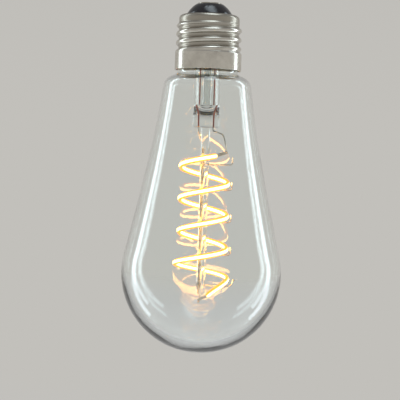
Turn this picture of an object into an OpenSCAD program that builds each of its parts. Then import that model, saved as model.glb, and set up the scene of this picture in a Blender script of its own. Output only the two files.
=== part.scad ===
// Clear LED filament lamp with a screw cap, hanging with its cap up.
// Sizes are in millimetres. The face of the tip contact is z = 0, the lamp's axis is the Z axis,
// and the whole lamp lies below the face. Angles run counter-clockwise seen from the cap.

/* [Glass envelope] */
// Length of the lamp, from the tip contact to the bottom of the globe
lamp_l = 140; // [134:1:150]
// Diameter of the round end
globe_d = 64; // [58:1:72]
// Wall of the neck and the upper globe
glass_t = 0.8; // [0.6:0.1:1.2]
// Thickness of the glass at the bottom of the globe
bottom_t = 3.2; // [1.2:0.1:4.5]
// Height over which the bottom thins out to the wall
bottom_h = 32; // [20:1:45]
// Angle above the widest line at which the round end becomes the neck
flank_a = 13.5; // [10:0.5:17]
// Diameter of the neck at the shoulder
neck_d = 35.2; // [32:0.2:38]
// Angle between the neck's wall and the axis at the shoulder
neck_a = 7.5; // [4:0.5:10]
// Height of the shoulder
shoulder_h = 5.9; // [4.5:0.1:8]
// Diameter of the collar that sits in the cap
collar_d = 24.6; // [23.4:0.1:25.2]

/* [Cap] */
// Height of the cap, from the tip contact to its rim
cap_h = 27; // [26.5:0.1:30]
// Crest diameter of the screw thread
thread_d = 26.3; // [26.05:0.05:26.45]
// Root diameter of the screw thread
root_d = 24.1; // [23.96:0.02:24.26]
// Rise of the screw thread in one turn
thread_pitch = 3.629; // [3.6:0.001:3.66]
// Sheet thickness of the shell
shell_t = 0.3; // [0.25:0.05:0.4]
// Diameter of the smooth skirt below the thread
skirt_d = 26.7; // [26.6:0.05:27]
// Length of the smooth skirt
skirt_l = 6.6; // [5.5:0.1:7.5]
// Height of the tip contact's face over the shell's top edge
tip_h = 4.9; // [4.4:0.1:5.6]
// Radius of the shell's rounded top edge
shell_round = 1.6; // [1:0.1:2]
// Diameter of the opening in the shell's top
lip_d = 18.4; // [17:0.2:19.6]
// Depth of the insulator below the shell's top edge
insulator_h = 1.7; // [1.2:0.1:2]
// Diameter of the tip contact
tip_d = 9.5; // [9:0.1:11]
// Thickness of the tip contact
tip_t = 0.5; // [0.4:0.05:0.7]
// Diameter of the flat on the insulator under the tip contact
insulator_d = 10.8; // [10.4:0.1:12]
// Outer diameter of the contact's shank
shank_d = 3; // [2.6:0.1:3.6]
// Length of the contact's shank below its plate
shank_l = 2.5; // [1.5:0.1:3]

/* [Stem] */
// Diameter of the stem tube
stem_d = 10.2; // [9.4:0.1:11]
// Wall of the stem tube
stem_t = 0.9; // [0.7:0.1:1.2]
// Depth of the seal between stem and collar below the skirt's top
seal_drop = 0.5; // [0.3:0.1:1.5]
// Width of the flat rim of the flare
flare_rim = 2.4; // [2:0.1:3]
// Depth of the press's top below the tip contact's face
press_top = 41; // [38:0.5:44]
// Height of the press
press_h = 8.8; // [7:0.2:11]
// Width of the press
press_w = 10.5; // [9.6:0.1:12]
// Thickness of the press
press_t = 4.6; // [3.8:0.1:5.2]
// Diameter of the exhaust tube
exhaust_d = 3.2; // [2.6:0.1:3.8]
// Bore of the exhaust tube
exhaust_bore = 2; // [1.2:0.1:2.2]
// Height of the exhaust tube's closed tip over the flare's rim
exhaust_tip = 2.4; // [1:0.1:3]
// Diameter of the glass pillar
pillar_d = 3.4; // [2.8:0.1:4]
// Depth of the pillar's foot below the tip contact's face
pillar_end = 118; // [114:0.5:121]

/* [Filament] */
// Radius of the coil at the middle of the strand
coil_r = 9.4; // [8:0.1:10]
// Number of turns
coil_turns = 3.98; // [3.8:0.01:4.1]
// Fall of the coil in one turn
coil_pitch = 13; // [12:0.1:13.6]
// Depth of the coil's upper end below the tip contact's face
coil_top = 61.3; // [59:0.1:64]
// Direction of the coil's upper end
coil_start_a = -62; // [-80:1:-45]
// How much wider the last turn is
coil_flare = 1.2; // [0:0.1:1.6]
// Radius at which the lower end stops
coil_end_r = 4.6; // [4:0.1:6]
// Extra fall of the lower end
tail_drop = 4.9; // [3.5:0.1:5.5]
// Width of the strand
strand_w = 2.2; // [1.8:0.1:2.6]
// Thickness of the coat on the chip side
coat_out = 0.75; // [0.6:0.05:0.9]
// Thickness of the coat on the back
coat_in = 0.6; // [0.4:0.05:0.8]
// Thickness of the carrier strip
strip_t = 0.2; // [0.15:0.05:0.3]
// Side of a square LED chip
chip_w = 0.7; // [0.5:0.05:0.9]
// Thickness of an LED chip
chip_t = 0.25; // [0.15:0.05:0.35]
// Length of the end tabs
tab_l = 5; // [4:0.1:5.5]
// Width of the end tabs
tab_w = 1.3; // [1:0.1:1.6]

/* [Wires] */
// Diameter of the lead wires
lead_d = 0.6; // [0.5:0.05:0.8]
// Distance of the leads in the press from the axis
lead_x = 2.9; // [2.5:0.1:3.2]
// Diameter of the support hooks' wire
hook_d = 0.5; // [0.4:0.05:0.6]
// Drop of the uppermost hook below the coil's upper end
first_hook = 3.3; // [2.8:0.1:4.7]
// How far the hooks reach past the strand
hook_reach = 0.9; // [0.6:0.1:1.4]
// Height of the hooks' turned-up ends
hook_up = 3.2; // [2:0.1:4]
// Gap between the strand and the arm of the hook below it
hook_gap = 1.3; // [0.1:0.1:1.6]
// How far the lowest hook sticks out
last_hook_out = 1.2; // [0.8:0.1:2]
// Diameter of the melted ball at the lowest hook's end
hook_ball_d = 1.1; // [0.7:0.1:1.4]

/* [Driver] */
// Diameter of the driver board
board_d = 20.6; // [20:0.1:21]
// Thickness of the driver board
board_t = 1; // [0.8:0.1:1.6]
// Height of the board's underside over the flare's rim
board_up = 4.1; // [3.8:0.1:4.5]
// Wall of the insulating sleeve
sleeve_t = 0.6; // [0.4:0.05:0.8]
// Height of the sleeve over the board's underside
sleeve_up = 6.4; // [5:0.1:6.8]
// Width of the ledge that carries the board
ledge_w = 1.2; // [0.8:0.1:1.4]
// Diameter of the smoothing capacitor
can_d = 6; // [5:0.1:6.3]
// Length of the smoothing capacitor
can_l = 9.4; // [7:0.1:10]
// Diameter of the fusible resistor
fuse_d = 2.6; // [2:0.1:3]
// Length of the fusible resistor's body
fuse_l = 4.6; // [3.6:0.1:5]

/* [Hidden] */
$fn = 48;
hook_count = 5;
hook_names = [for (i = [1:hook_count]) str("support_hook_", i)];

// Clearances: a wire in its hole, two pieces that nearly touch, and the overlap of a shell's own layers
slip = 0.02;
touch = 0.05;
seam = 0.06;

// Small steps of the glass and the cap
collar_show = 0.6;
top_run = 1.4;
sleeve_gap = 0.5;
shank_t = 0.4;
dimple_w = 1.1;
dimple_drop = 0.2;
foot_round = 0.9;
press_round = 0.5;

// Levels, all measured from the tip contact's face
lip_z = -tip_h;
rim_z = -cap_h;
skirt_z = rim_z + skirt_l;
seal_z = skirt_z - seal_drop;
flare_z = seal_z + stem_t;
thread_z = lip_z - shell_round - top_run;
insulator_z = lip_z - insulator_h;
collar_z = rim_z - collar_show;
neck_z = collar_z - shoulder_h;
globe_z = -lamp_l + globe_d / 2;
press_z = -press_top - press_h;
foot_z = -pillar_end;
board_z = flare_z + board_up;
deck_z = board_z + board_t;

// Radii that several pieces share
collar_r = collar_d / 2;
stem_r = stem_d / 2;
pillar_r = pillar_d / 2;
lead_r = lead_d / 2;
hook_r = hook_d / 2;
ring_t = shell_t + 2 * seam + slip;
shell_top_r = root_d / 2 + seam;
skirt_r = skirt_d / 2;
sleeve_r = shell_top_r - ring_t - sleeve_gap;
shank_r = shank_d / 2;
shank_bore = shank_r - shank_t;
dimple_r = shank_bore + dimple_w;
dimple_h = tip_t + dimple_drop;

// Curves and vectors
function mix(a, b, t) = a + (b - a) * t;
function clamp01(t) = max(0, min(1, t));
function ease(t) = let (s = clamp01(t)) s * s * (3 - 2 * s);
function unit(v) = v / norm(v);
function polar(r, a, z = 0) = [r * cos(a), r * sin(a), z];
function arc(centre, r, from, to, steps) =
    [for (i = [0:steps]) let (a = mix(from, to, i / steps)) centre + r * [cos(a), sin(a)]];
function bezier(p, steps) = [for (i = [1:steps]) let (t = i / steps, s = 1 - t)
    s * s * s * p[0] + 3 * s * s * t * p[1] + 3 * s * t * t * p[2] + t * t * t * p[3]];
// A line of points with each corner rounded, from at most d before it to at most d after it
function rounded(p, d = 1.2, steps = 4) = let (n = len(p) - 1) [p[0],
    for (i = [1:n - 1]) let (
        into = p[i] - p[i - 1],
        away = p[i + 1] - p[i],
        k = min(d, 0.48 * norm(into), 0.48 * norm(away)),
        a = p[i] - k * unit(into),
        b = p[i] + k * unit(away))
        each [for (j = [0:steps]) let (t = j / steps) mix(mix(a, p[i], t), mix(p[i], b, t), t)],
    p[n]];
function reversed(p) = [for (i = [len(p) - 1:-1:0]) p[i]];

// Directions along a line of points, one for each point
function headings(p) = let (n = len(p) - 1)
    [for (i = [0:n]) unit(p[min(i + 1, n)] - p[max(i - 1, 0)])];

// A closed skin over rings of points that all have the same number of points.
// caps lists the faces that close one end, as indices into a ring.
module skin(rings, caps) {
    m = len(rings[0]);
    last = (len(rings) - 1) * m;
    sides = [for (i = [0:len(rings) - 2], j = [0:m - 1])
        let (a = i * m + j, b = i * m + (j + 1) % m) each [[a, b, b + m], [a, b + m, a + m]]];
    bottom = [for (f = caps) reversed(f)];
    top = [for (f = caps) [for (k = f) k + last]];
    polyhedron(points = [for (r = rings) each r], faces = concat(sides, bottom, top), convexity = 8);
}

// A round wire along a line of points, as an eight-sided tube that may end in a melted ball.
// Each station is a place, a radius and a heading.
module wire(route, r, ball_r = 0) {
    sides = 8;
    up = [0.31, 0.94, 0.12];
    aim = headings(route);
    end = len(route) - 1;
    ball = ball_r == 0 ? [[route[end], r, aim[end]]] :
        [for (k = [0:7]) let (a = mix(asin(r / ball_r), 165, k / 7))
            [route[end] - ball_r * cos(a) * aim[end], ball_r * sin(a), aim[end]]];
    stations = concat([for (i = [0:end - 1]) [route[i], r, aim[i]]], ball);
    rings = [for (s = stations) let (n = unit(cross(s[2], up)), b = cross(s[2], n))
        [for (k = [0:sides - 1]) let (a = 360 * k / sides) s[0] + s[1] * (cos(a) * n + sin(a) * b)]];
    skin(rings, [[for (k = [0:sides - 1]) k]]);
}

// Glass

// Outline of the envelope from the bottom of the globe to the end of its collar
function envelope_outline() = let (
    r = globe_d / 2,
    round_end = arc([0, globe_z], r, -90, flank_a, 30),
    start = round_end[len(round_end) - 1],
    stop = [neck_d / 2, neck_z],
    h = (stop.y - start.y) / 3,
    neck = bezier([start, start + [-tan(flank_a) * h, h], stop - [-tan(neck_a) * h, h], stop], 14),
    rise = 0.8 * shoulder_h,
    shoulder = bezier([stop, stop + [-tan(neck_a) * rise, rise],
        [collar_r, collar_z - 0.4 * shoulder_h], [collar_r, collar_z]], 12))
    concat(round_end, neck, shoulder, [[collar_r, seal_z]]);

function wall_at(z) = mix(glass_t, bottom_t, clamp01(1 - (z + lamp_l) / bottom_h));

// The same outline, moved in by the wall
function envelope_inside(p) = let (t = headings(p), n = len(p) - 1)
    [for (i = [0:n]) i == 0 ? [0, p[0].y + bottom_t] :
        i == n ? p[n] - [glass_t, 0] : p[i] - wall_at(p[i].y) * [t[i].y, -t[i].x]];

module glass_envelope() {
    outline = envelope_outline();
    color([0.86, 0.92, 0.94, 0.3]) rotate_extrude()
        polygon(concat(outline, reversed(envelope_inside(outline))));
}

module stem_tube() {
    flat_r = collar_r - flare_rim;
    centre = [flat_r, seal_z - flat_r + stem_r];
    under = arc(centre, flat_r - stem_r, 180, 90, 14);
    over = arc(centre, flat_r - stem_r + stem_t, 90, 180, 14);
    color([0.86, 0.92, 0.94, 0.3]) rotate_extrude()
        polygon(concat([[stem_r, -press_top]], under, [[collar_r, seal_z], [collar_r, flare_z]], over,
            [[stem_r - stem_t, -press_top]]));
}

module exhaust_tube() {
    r = exhaust_d / 2;
    bore = exhaust_bore / 2;
    tip_z = flare_z + exhaust_tip;
    color([0.86, 0.92, 0.94, 0.3]) rotate_extrude()
        polygon(concat([[bore, -press_top], [r, -press_top]], arc([0, tip_z - r], r, 0, 90, 10),
            arc([0, tip_z - r], bore, 90, 0, 9)));
}

module stem_press() {
    side = (press_w - press_t) / 2;
    color([0.86, 0.92, 0.94, 0.3]) difference() {
        hull() {
            translate([0, 0, -press_top - press_round]) cylinder(r = stem_r, h = press_round, $fn = 40);
            for (x = [-side, side]) translate([x, 0, press_z]) {
                cylinder(d = press_t - 2 * press_round, h = press_h / 2, $fn = 32);
                translate([0, 0, press_round]) cylinder(d = press_t, h = press_h / 2, $fn = 32);
            }
        }
        for (x = [-lead_x, lead_x]) translate([x, 0, press_z - 1])
            cylinder(r = lead_r + slip, h = press_h + 2);
    }
}

module pillar_rod() {
    color([0.86, 0.92, 0.94, 0.3]) rotate_extrude()
        polygon(concat([[0, press_z], [0, foot_z]],
            arc([pillar_r - foot_round, foot_z + foot_round], foot_round, -90, 0, 8),
            [[pillar_r, press_z]]));
}

// Filament

// The coil's whole angle, the angles over which it widens and ends in its tail, and its number of steps
coil_a = 360 * coil_turns;
flare_from = 470;
flare_over = 200;
tail_a = 75;
coil_steps = 120;

// Middle of the strand after the coil has turned by an angle of t
function coil_point(t) = let (
    tail = clamp01((t - coil_a + tail_a) / tail_a),
    a = coil_start_a - t,
    wide = coil_r + coil_flare * ease((t - coil_a + flare_from) / flare_over),
    r = mix(wide, coil_end_r, tail * tail),
    fall = coil_pitch * t / 360 + tail_drop * tail * tail)
    polar(r, a, -coil_top - fall);
coil_route = [for (i = [0:coil_steps]) coil_point(coil_a * i / coil_steps)];
coil_headings = headings(coil_route);

// Directions across the strand: out from the axis, and along its width
function outward(i) = let (t = coil_headings[i], p = coil_route[i], n = unit([p.x, p.y, 0]))
    unit(n - (n * t) * t);
function across(i) = cross(coil_headings[i], outward(i));

// A section of the strand, given as points of [out, across], swept along the coil
module strand(section, caps) {
    skin([for (i = [0:coil_steps])
        [for (p = section) coil_route[i] + p.x * outward(i) + p.y * across(i)]], caps);
}

// The strip's edge lies inside the coat, and the coat's own edge is this thick
strip_edge = 0.15;
chip_slot = [chip_t + 2 * touch, chip_w + 4 * touch];

module filament_strip() {
    u = strip_t / 2;
    v = strand_w / 2 - strip_edge;
    color("goldenrod") strand([[u, -v], [u, v], [-u, v], [-u, -v]], [[0, 1, 2, 3]]);
}

// One chip on each straight step of the strip, clear of the end tabs
module filament_chips() {
    color("khaki") for (i = [1:coil_steps - 2]) {
        mid = (coil_route[i] + coil_route[i + 1]) / 2;
        t = unit(coil_route[i + 1] - coil_route[i]);
        n = outward(i) + outward(i + 1);
        out = unit(n - (n * t) * t);
        w = cross(t, out);
        lift = mid + (strip_t / 2 + touch) * out;
        multmatrix([for (k = [0:2]) [t[k], w[k], out[k], lift[k]]])
            translate([-chip_w / 2, -chip_w / 2, 0]) cube([chip_w, chip_w, chip_t]);
    }
}

// The coat over the chips has a slot along its middle, where the chips sit
module filament_coat_front() {
    u = strip_t / 2;
    v = strand_w / 2;
    outer = [for (i = [0:5]) let (a = mix(-90, 90, i / 5))
        [u + strip_edge + (coat_out - strip_edge) * cos(a), v * sin(a)]];
    s = chip_slot.y / 2;
    inner = [[u, -v], [u, -s], [u + chip_slot.x, -s], [u + chip_slot.x, s], [u, s], [u, v]];
    color("orange") strand(concat(outer, reversed(inner)), [for (i = [0:4]) [i, i + 1, 10 - i, 11 - i]]);
}

module filament_coat_back() {
    u = strip_t / 2;
    v = strand_w / 2;
    outer = [for (i = [0:6]) let (a = mix(90, -90, i / 6))
        [-u - strip_edge - (coat_in - strip_edge) * cos(a), v * sin(a)]];
    color("orange") strand(concat([[-u, -v], [-u, v]], outer), [[for (i = [0:8]) i]]);
}

tab_t = 0.25;
tab_gap = 0.08;

// A flat tab that starts at the strand's end and points along a heading
module end_tab(start, heading, out) {
    n = unit(out - (out * heading) * heading);
    w = cross(heading, n);
    at = start + tab_gap * heading;
    color("silver") multmatrix([for (k = [0:2]) [heading[k], w[k], n[k], at[k]]])
        translate([0, -tab_w / 2, -tab_t / 2]) cube([tab_l, tab_w, tab_t]);
}

top_heading = unit(-coil_headings[0] + [0, 0, 0.12]);
bottom_heading = unit(coil_headings[coil_steps] + [0, 0.35, 0.2]);
top_tab_end = coil_route[0] + tab_l * top_heading;
bottom_tab_end = coil_route[coil_steps] + tab_l * bottom_heading;

module filament_tab_top() end_tab(coil_route[0], top_heading, outward(0));
module filament_tab_bottom() end_tab(coil_route[coil_steps], bottom_heading, outward(coil_steps));

// Wires

module seal_wires() {
    color("sienna") for (x = [-lead_x, lead_x])
        translate([x, 0, press_z]) cylinder(r = lead_r, h = press_h);
}

// The short lead leaves the press, bends out and comes down behind the top tab
module upper_lead() {
    end = top_tab_end - 0.6 * top_heading + [0, 0, tab_w / 2 + 4 * touch];
    color("silver") wire(rounded([[lead_x, 0, press_z], [lead_x, 0, press_z - 1.4],
        [lead_x + 4, -3.2, press_z - 2.8], [end.x - 0.4, end.y, end.z + 3], end]), lead_r);
}

// Drop of the long lead below the press, down to where it lies against the pillar
side_drop = 8;

// The long lead runs down close behind the pillar, and passes under its foot to the lower tab
module return_lead() {
    r = pillar_r + lead_r + touch;
    side = polar(r, 97);
    end = bottom_tab_end + [0, 0, -tab_w / 2 - lead_r - touch];
    color("silver") wire(rounded([[-lead_x, 0, press_z], [-lead_x, 0, press_z - 2],
        polar(r + lead_d, 135, press_z - side_drop + 3), [side.x, side.y, press_z - side_drop],
        [side.x, side.y, foot_z - 1.8], end]), lead_r);
}

lead_hole = [8.3, 0.6];

module outer_leads() {
    color("peru") for (s = [-1, 1])
        wire(rounded([[s * lead_x, 0, -press_top], [s * lead_x, 0, flare_z - 1.5],
            [s * lead_hole.x, lead_hole.y, board_z - 1.5],
            [s * lead_hole.x, lead_hole.y, deck_z + 0.7]]), lead_r);
}

// Where the strand crosses the side of the lamp that the hooks are on
function crossing(i) = coil_point(360 * i - 360 + coil_start_a);

// The first hook lies under the coil's upper end, the others under one turn each
module support_hook(i) {
    last = i == hook_count;
    p = crossing(max(i, 2));
    z = i == 1 ? -coil_top - first_hook : p.z - strand_w / 2 - hook_gap - hook_r;
    out_r = norm([p.x, p.y]) + strip_t / 2 + coat_out + hook_reach;
    end = last ? [out_r + last_hook_out, 0, p.z] : [out_r, 0, z + hook_up];
    color("silver")
        wire(rounded([[pillar_r, 0, z], [out_r, 0, z], end]), hook_r, last ? hook_ball_d / 2 : 0);
}

// Cap

// Distance from the axis to the thread's surface, where turn is the place between two crests, 0 to 1
function thread_r(turn) = let (
    half = thread_pitch / 2,
    step = (thread_d - root_d) / 2,
    depth = abs(step),
    knuckle = (half * half + depth * depth) / (4 * depth),
    x = thread_pitch * min(turn, 1 - turn),
    drop = x < half / 2 ? knuckle - sqrt(knuckle * knuckle - x * x) :
        depth - knuckle + sqrt(knuckle * knuckle - (half - x) * (half - x)))
    thread_d / 2 - sign(step) * drop;

// The thread runs in from the plain wall at its top and out to the skirt at its bottom
function thread_surface(a, z) = let (
    turn = z / thread_pitch - a / 360,
    run = thread_pitch * 0.45,
    from_top = ease((thread_z - z) / run),
    from_skirt = ease((z - skirt_z) / run),
    inner = mix(shell_top_r - seam, thread_r(turn - floor(turn)), from_top))
    mix(skirt_r - seam, inner, from_skirt);

module thread_wall() {
    around = 40;
    rows = 38;
    rings = [for (side = [0, 1], k = [0:rows])
        let (z = mix(skirt_z, thread_z, side == 0 ? k / rows : 1 - k / rows)) [for (j = [0:around - 1])
            let (a = 360 * j / around) polar(thread_surface(a, z) - side * shell_t, a, z)]];
    m = around;
    n = len(rings);
    faces = [for (i = [0:n - 1], j = [0:m - 1]) let (a = i * m + j, b = i * m + (j + 1) % m,
        c = ((i + 1) % n) * m + j, d = ((i + 1) % n) * m + (j + 1) % m) each [[a, d, b], [a, c, d]]];
    polyhedron(points = [for (r = rings) each r], faces = faces, convexity = 12);
}

// Outline of the inside of the shell's top, from the edge of its opening down to a level
function shell_top_inside(z) = let (
    r = shell_round - ring_t,
    c = [shell_top_r - shell_round, lip_z - shell_round])
    concat([[lip_d / 2, lip_z - ring_t]], arc(c, r, 90, 0, 8), [[shell_top_r - ring_t, z]]);

module screw_shell() {
    corner = arc([shell_top_r - shell_round, lip_z - shell_round], shell_round, 90, 0, 10);
    color("silver") union() {
        rotate_extrude() polygon(concat([[lip_d / 2, lip_z]], corner, [[shell_top_r, thread_z]],
            reversed(shell_top_inside(thread_z))));
        thread_wall();
        rotate_extrude() translate([skirt_r - ring_t, rim_z]) square([ring_t, skirt_l]);
    }
}

module cap_insulator() {
    slope = bezier([[insulator_d / 2, -tip_t], [insulator_d / 2 + 1.6, -tip_t - 0.9],
        [lip_d / 2 - 0.7, lip_z + 1.6], [lip_d / 2, lip_z + 0.2]], 8);
    bore = shank_r + slip;
    color([0.06, 0.06, 0.07]) rotate_extrude()
        polygon(concat([[bore, -tip_t], [insulator_d / 2, -tip_t]], slope, shell_top_inside(insulator_z),
            [[bore, insulator_z]]));
}

module tip_contact() {
    r = tip_d / 2;
    color("silver") rotate_extrude()
        polygon([[shank_bore, -tip_t - shank_l], [shank_r, -tip_t - shank_l], [shank_r, -tip_t],
            [r, -tip_t], [r, -0.2], [r - 0.2, 0], [dimple_r, 0], [shank_bore, -dimple_h]]);
}

solder_z = -dimple_h - 0.2;

module tip_solder() {
    fill = 0.91;
    edge = [mix(shank_bore, dimple_r, fill), mix(-dimple_h, 0, fill)];
    color("lightgray") rotate_extrude()
        polygon([[0, solder_z], [shank_bore, solder_z], [shank_bore, -dimple_h], edge,
            [edge.x * 0.6, -0.03], [0, -0.01]]);
}

module basing_cement() {
    color("beige") rotate_extrude() translate([collar_r, rim_z + 0.4])
        square([skirt_r - ring_t - collar_r, skirt_l - 0.9 - seal_drop]);
}

// Driver

module driver_sleeve() {
    ledge_r = sleeve_r - sleeve_t - ledge_w;
    color("white") rotate_extrude()
        polygon([[ledge_r, flare_z], [sleeve_r, flare_z], [sleeve_r, board_z + sleeve_up],
            [sleeve_r - sleeve_t, board_z + sleeve_up], [sleeve_r - sleeve_t, board_z],
            [ledge_r, board_z]]);
}

// Places and sizes of what stands on the board; a package's size is length, width and height
fuse_at = [0, -7.2];
bridge_at = [-5.2, -3.2];
bridge_size = [4.7, 3.8, 1.5];
chip_at = [5, -3.4];
chip_size = [4.6, 3.2, 1.4];
package_gap = 0.15;
leg_t = 0.2;
leg_out = 0.8;
resistor_size = [1.4, 1.2, 0.5];
resistor_end = 0.3;
resistor_y = -1.4;
resistor_step = 1.7;
stand_off = 0.5;
pad_r = 0.9;
cone_h = 0.45;
side_wire_a = -50;
side_wire_r = 0.4;
side_wire_at = polar(board_d / 2 - 0.9, side_wire_a);
wire_level = insulator_z - 0.8;

module driver_board() {
    holes = [[lead_hole.x, lead_hole.y], [-lead_hole.x, lead_hole.y], fuse_at];
    color("seagreen") translate([0, 0, board_z]) difference() {
        cylinder(d = board_d, h = board_t);
        for (p = holes) translate([p.x, p.y, -1]) cylinder(r = lead_r + 0.15, h = board_t + 2);
    }
}

// A moulded package with a row of bent legs along two sides, standing on the board
module package(size, legs, pitch, leg_w) {
    translate([-size.x / 2, -size.y / 2, package_gap]) cube([size.x, size.y, size.z - package_gap]);
    for (s = [-1, 1], k = [0:legs - 1]) {
        x = (k - (legs - 1) / 2) * pitch - leg_w / 2;
        y = s * size.y / 2;
        translate([x, s > 0 ? y : y - leg_out, 0]) cube([leg_w, leg_out, leg_t]);
        translate([x, s > 0 ? y : y - leg_t, 0]) cube([leg_w, leg_t, size.z / 2]);
    }
}

module bridge_rectifier() {
    color([0.12, 0.12, 0.13]) translate([bridge_at.x, bridge_at.y, deck_z])
        package(bridge_size, 2, 2.5, 0.65);
}

module driver_chip() {
    color([0.12, 0.12, 0.13]) translate([chip_at.x, chip_at.y, deck_z])
        package(chip_size, 4, 1.27, 0.4);
}

module smoothing_capacitor() {
    r = can_d / 2;
    side_y = lead_hole.y + r + 1.4;
    color("steelblue") translate([-can_l / 2, side_y, deck_z + r + touch]) rotate([0, 90, 0])
        rotate_extrude() polygon([[0, 0], [r - 0.5, 0], [r, 0.4], [r, can_l - 2.2], [r - 0.4, can_l - 1.8],
            [r, can_l - 1.4], [r, can_l - 0.3], [r - 0.3, can_l], [0, can_l]]);
    color("silver") for (s = [-1, 1]) translate([can_l / 2, side_y + s * 1.2, deck_z]) {
        translate([0.5, 0, 0]) cylinder(d = 0.5, h = r);
        translate([0, 0, r]) rotate([0, 90, 0]) cylinder(d = 0.5, h = 0.75);
    }
}

module fusible_resistor() {
    r = fuse_d / 2;
    color("palegreen") translate([fuse_at.x, fuse_at.y, deck_z + stand_off]) rotate_extrude()
        polygon([[0, 0], [r - 0.4, 0], [r, 0.4], [r, 1.1], [r - 0.2, 1.4], [r - 0.2, fuse_l - 1.4],
            [r, fuse_l - 1.1], [r, fuse_l - 0.4], [r - 0.4, fuse_l], [0, fuse_l]]);
    color("silver") translate([fuse_at.x, fuse_at.y, board_z - 0.3])
        cylinder(r = lead_r, h = board_t + 0.3 + stand_off);
}

module chip_resistors() {
    half = resistor_size / 2;
    for (k = [0:2]) translate([0, resistor_y - resistor_step * k - half.y, deck_z]) {
        color([0.15, 0.15, 0.16]) translate([-half.x, 0, 0]) cube(resistor_size);
        color("silver") for (x = [-half.x - resistor_end, half.x]) translate([x, 0, 0])
            cube([resistor_end, resistor_size.y, resistor_size.z]);
    }
}

// A cone of solder around a wire that stands on the board
module solder_cone(p) {
    translate([p.x, p.y, deck_z]) difference() {
        cylinder(r1 = pad_r, r2 = lead_r + 2 * touch, h = cone_h);
        translate([0, 0, -1]) cylinder(r = lead_r + slip, h = 3);
    }
}

module board_solder() {
    color("lightgray") {
        for (x = [-lead_hole.x, lead_hole.x]) solder_cone([x, lead_hole.y]);
        solder_cone(fuse_at);
    }
}

module tip_wire() {
    start_z = deck_z + stand_off + fuse_l;
    color("silver") wire(rounded([[fuse_at.x, fuse_at.y, start_z],
        [fuse_at.x, fuse_at.y, wire_level], [0, 0, wire_level], [0, 0, solder_z]]), lead_r);
}

// A fibre sleeve over the level stretch of the tip wire
module tip_wire_sleeve() {
    color("ivory") translate([0, -1.9, wire_level]) rotate([90, 0, 0]) difference() {
        cylinder(r = lead_r + 0.3, h = -fuse_at.y - 4);
        translate([0, 0, -1]) cylinder(r = lead_r + slip, h = -fuse_at.y);
    }
}

side_wire_end = polar(shell_top_r - ring_t - 0.9, side_wire_a, (insulator_z + thread_z) / 2);

module side_wire() {
    top = board_z + sleeve_up + side_wire_r;
    color("white") wire(rounded([side_wire_at + [0, 0, deck_z], side_wire_at + [0, 0, top],
        side_wire_end], 0.9), side_wire_r);
}

// A blob of solder on the inside of the shell, clear of the wire's end
module side_solder() {
    color("lightgray") translate([0, 0, side_wire_end.z]) rotate([0, 0, side_wire_a]) intersection() {
        translate([shell_top_r - ring_t - 0.1, 0, 0]) sphere(r = 0.55);
        cylinder(r = shell_top_r - ring_t, h = 2, center = true);
    }
}

glass_envelope();
stem_tube();
exhaust_tube();
stem_press();
pillar_rod();
filament_strip();
filament_chips();
filament_coat_front();
filament_coat_back();
filament_tab_top();
filament_tab_bottom();
upper_lead();
return_lead();
seal_wires();
outer_leads();
screw_shell();
cap_insulator();
tip_contact();
tip_solder();
basing_cement();
driver_sleeve();
driver_board();
bridge_rectifier();
driver_chip();
smoothing_capacitor();
fusible_resistor();
chip_resistors();
board_solder();
tip_wire();
tip_wire_sleeve();
side_wire();
side_solder();
for (i = [1:hook_count]) support_hook(i);
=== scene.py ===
"""Looks of a clear filament lamp with a screw cap, hung cap up as it is used.

Lengths are in millimetres and become metres where a mesh or a pattern is made. Only the studio's own
are in metres. The lamp's axis is the Z axis, the face of its tip contact is at zero, and the rest of
the lamp lies below that.
"""

import logging
import math
from dataclasses import dataclass
from enum import Enum
from typing import Callable, Sequence

import bmesh
import bpy
from mathutils import Matrix, Vector, noise


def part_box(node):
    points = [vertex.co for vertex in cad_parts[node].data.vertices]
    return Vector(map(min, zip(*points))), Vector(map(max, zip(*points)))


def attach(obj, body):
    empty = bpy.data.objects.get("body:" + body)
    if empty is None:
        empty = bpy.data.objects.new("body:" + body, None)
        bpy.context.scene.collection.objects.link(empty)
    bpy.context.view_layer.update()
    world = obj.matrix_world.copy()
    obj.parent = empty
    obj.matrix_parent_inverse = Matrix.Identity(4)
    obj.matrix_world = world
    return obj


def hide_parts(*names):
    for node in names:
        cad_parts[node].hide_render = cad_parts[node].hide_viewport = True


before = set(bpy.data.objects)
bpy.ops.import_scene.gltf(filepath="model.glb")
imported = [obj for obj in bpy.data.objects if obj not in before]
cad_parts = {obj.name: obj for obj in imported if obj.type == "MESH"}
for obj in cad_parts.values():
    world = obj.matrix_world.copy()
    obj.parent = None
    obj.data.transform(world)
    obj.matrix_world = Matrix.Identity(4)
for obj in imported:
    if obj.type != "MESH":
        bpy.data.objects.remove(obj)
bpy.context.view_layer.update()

log = logging.getLogger("lamp")

MM = 0.001
# The attribute in which a vertex keeps its place in the straightened piece
STRAIGHT = "straight"
# A wave texture of scale 1 has this many metres between its bands
BAND = math.tau / 20
# Where most of a noise's values lie, and the middle of that
USUAL = (0.3, 0.7)
MIDDLE = (0.35, 0.65)
# Numbers of a Mix node's two colour inputs and of its colour output
FIRST, SECOND, BLEND = 6, 7, 2
# How a range is set that starts and ends softly
SMOOTH = "SMOOTHSTEP"
# The colour of the studio's surround, which its floor fades into
SURROUND = "#C2C0BB"
# Below these lengths a corner is on the axis, two corners are one and two heights are the same
ON_AXIS = 1e-6
SAME_CORNER = 1e-5
SAME_HEIGHT = 1e-4
# Angles past which an edge stays sharp, on a piece and on a wire
SHARP = 35.0
WIRE_SHARP = 50.0

# Sizes that more than one sub-assembly has
COLLAR_R = 12.3
LEAD_R = 0.3
HOOK_R = 0.25
HOOKS = 5

Pair = tuple[float, float]
Triple = tuple[float, float, float]
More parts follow.
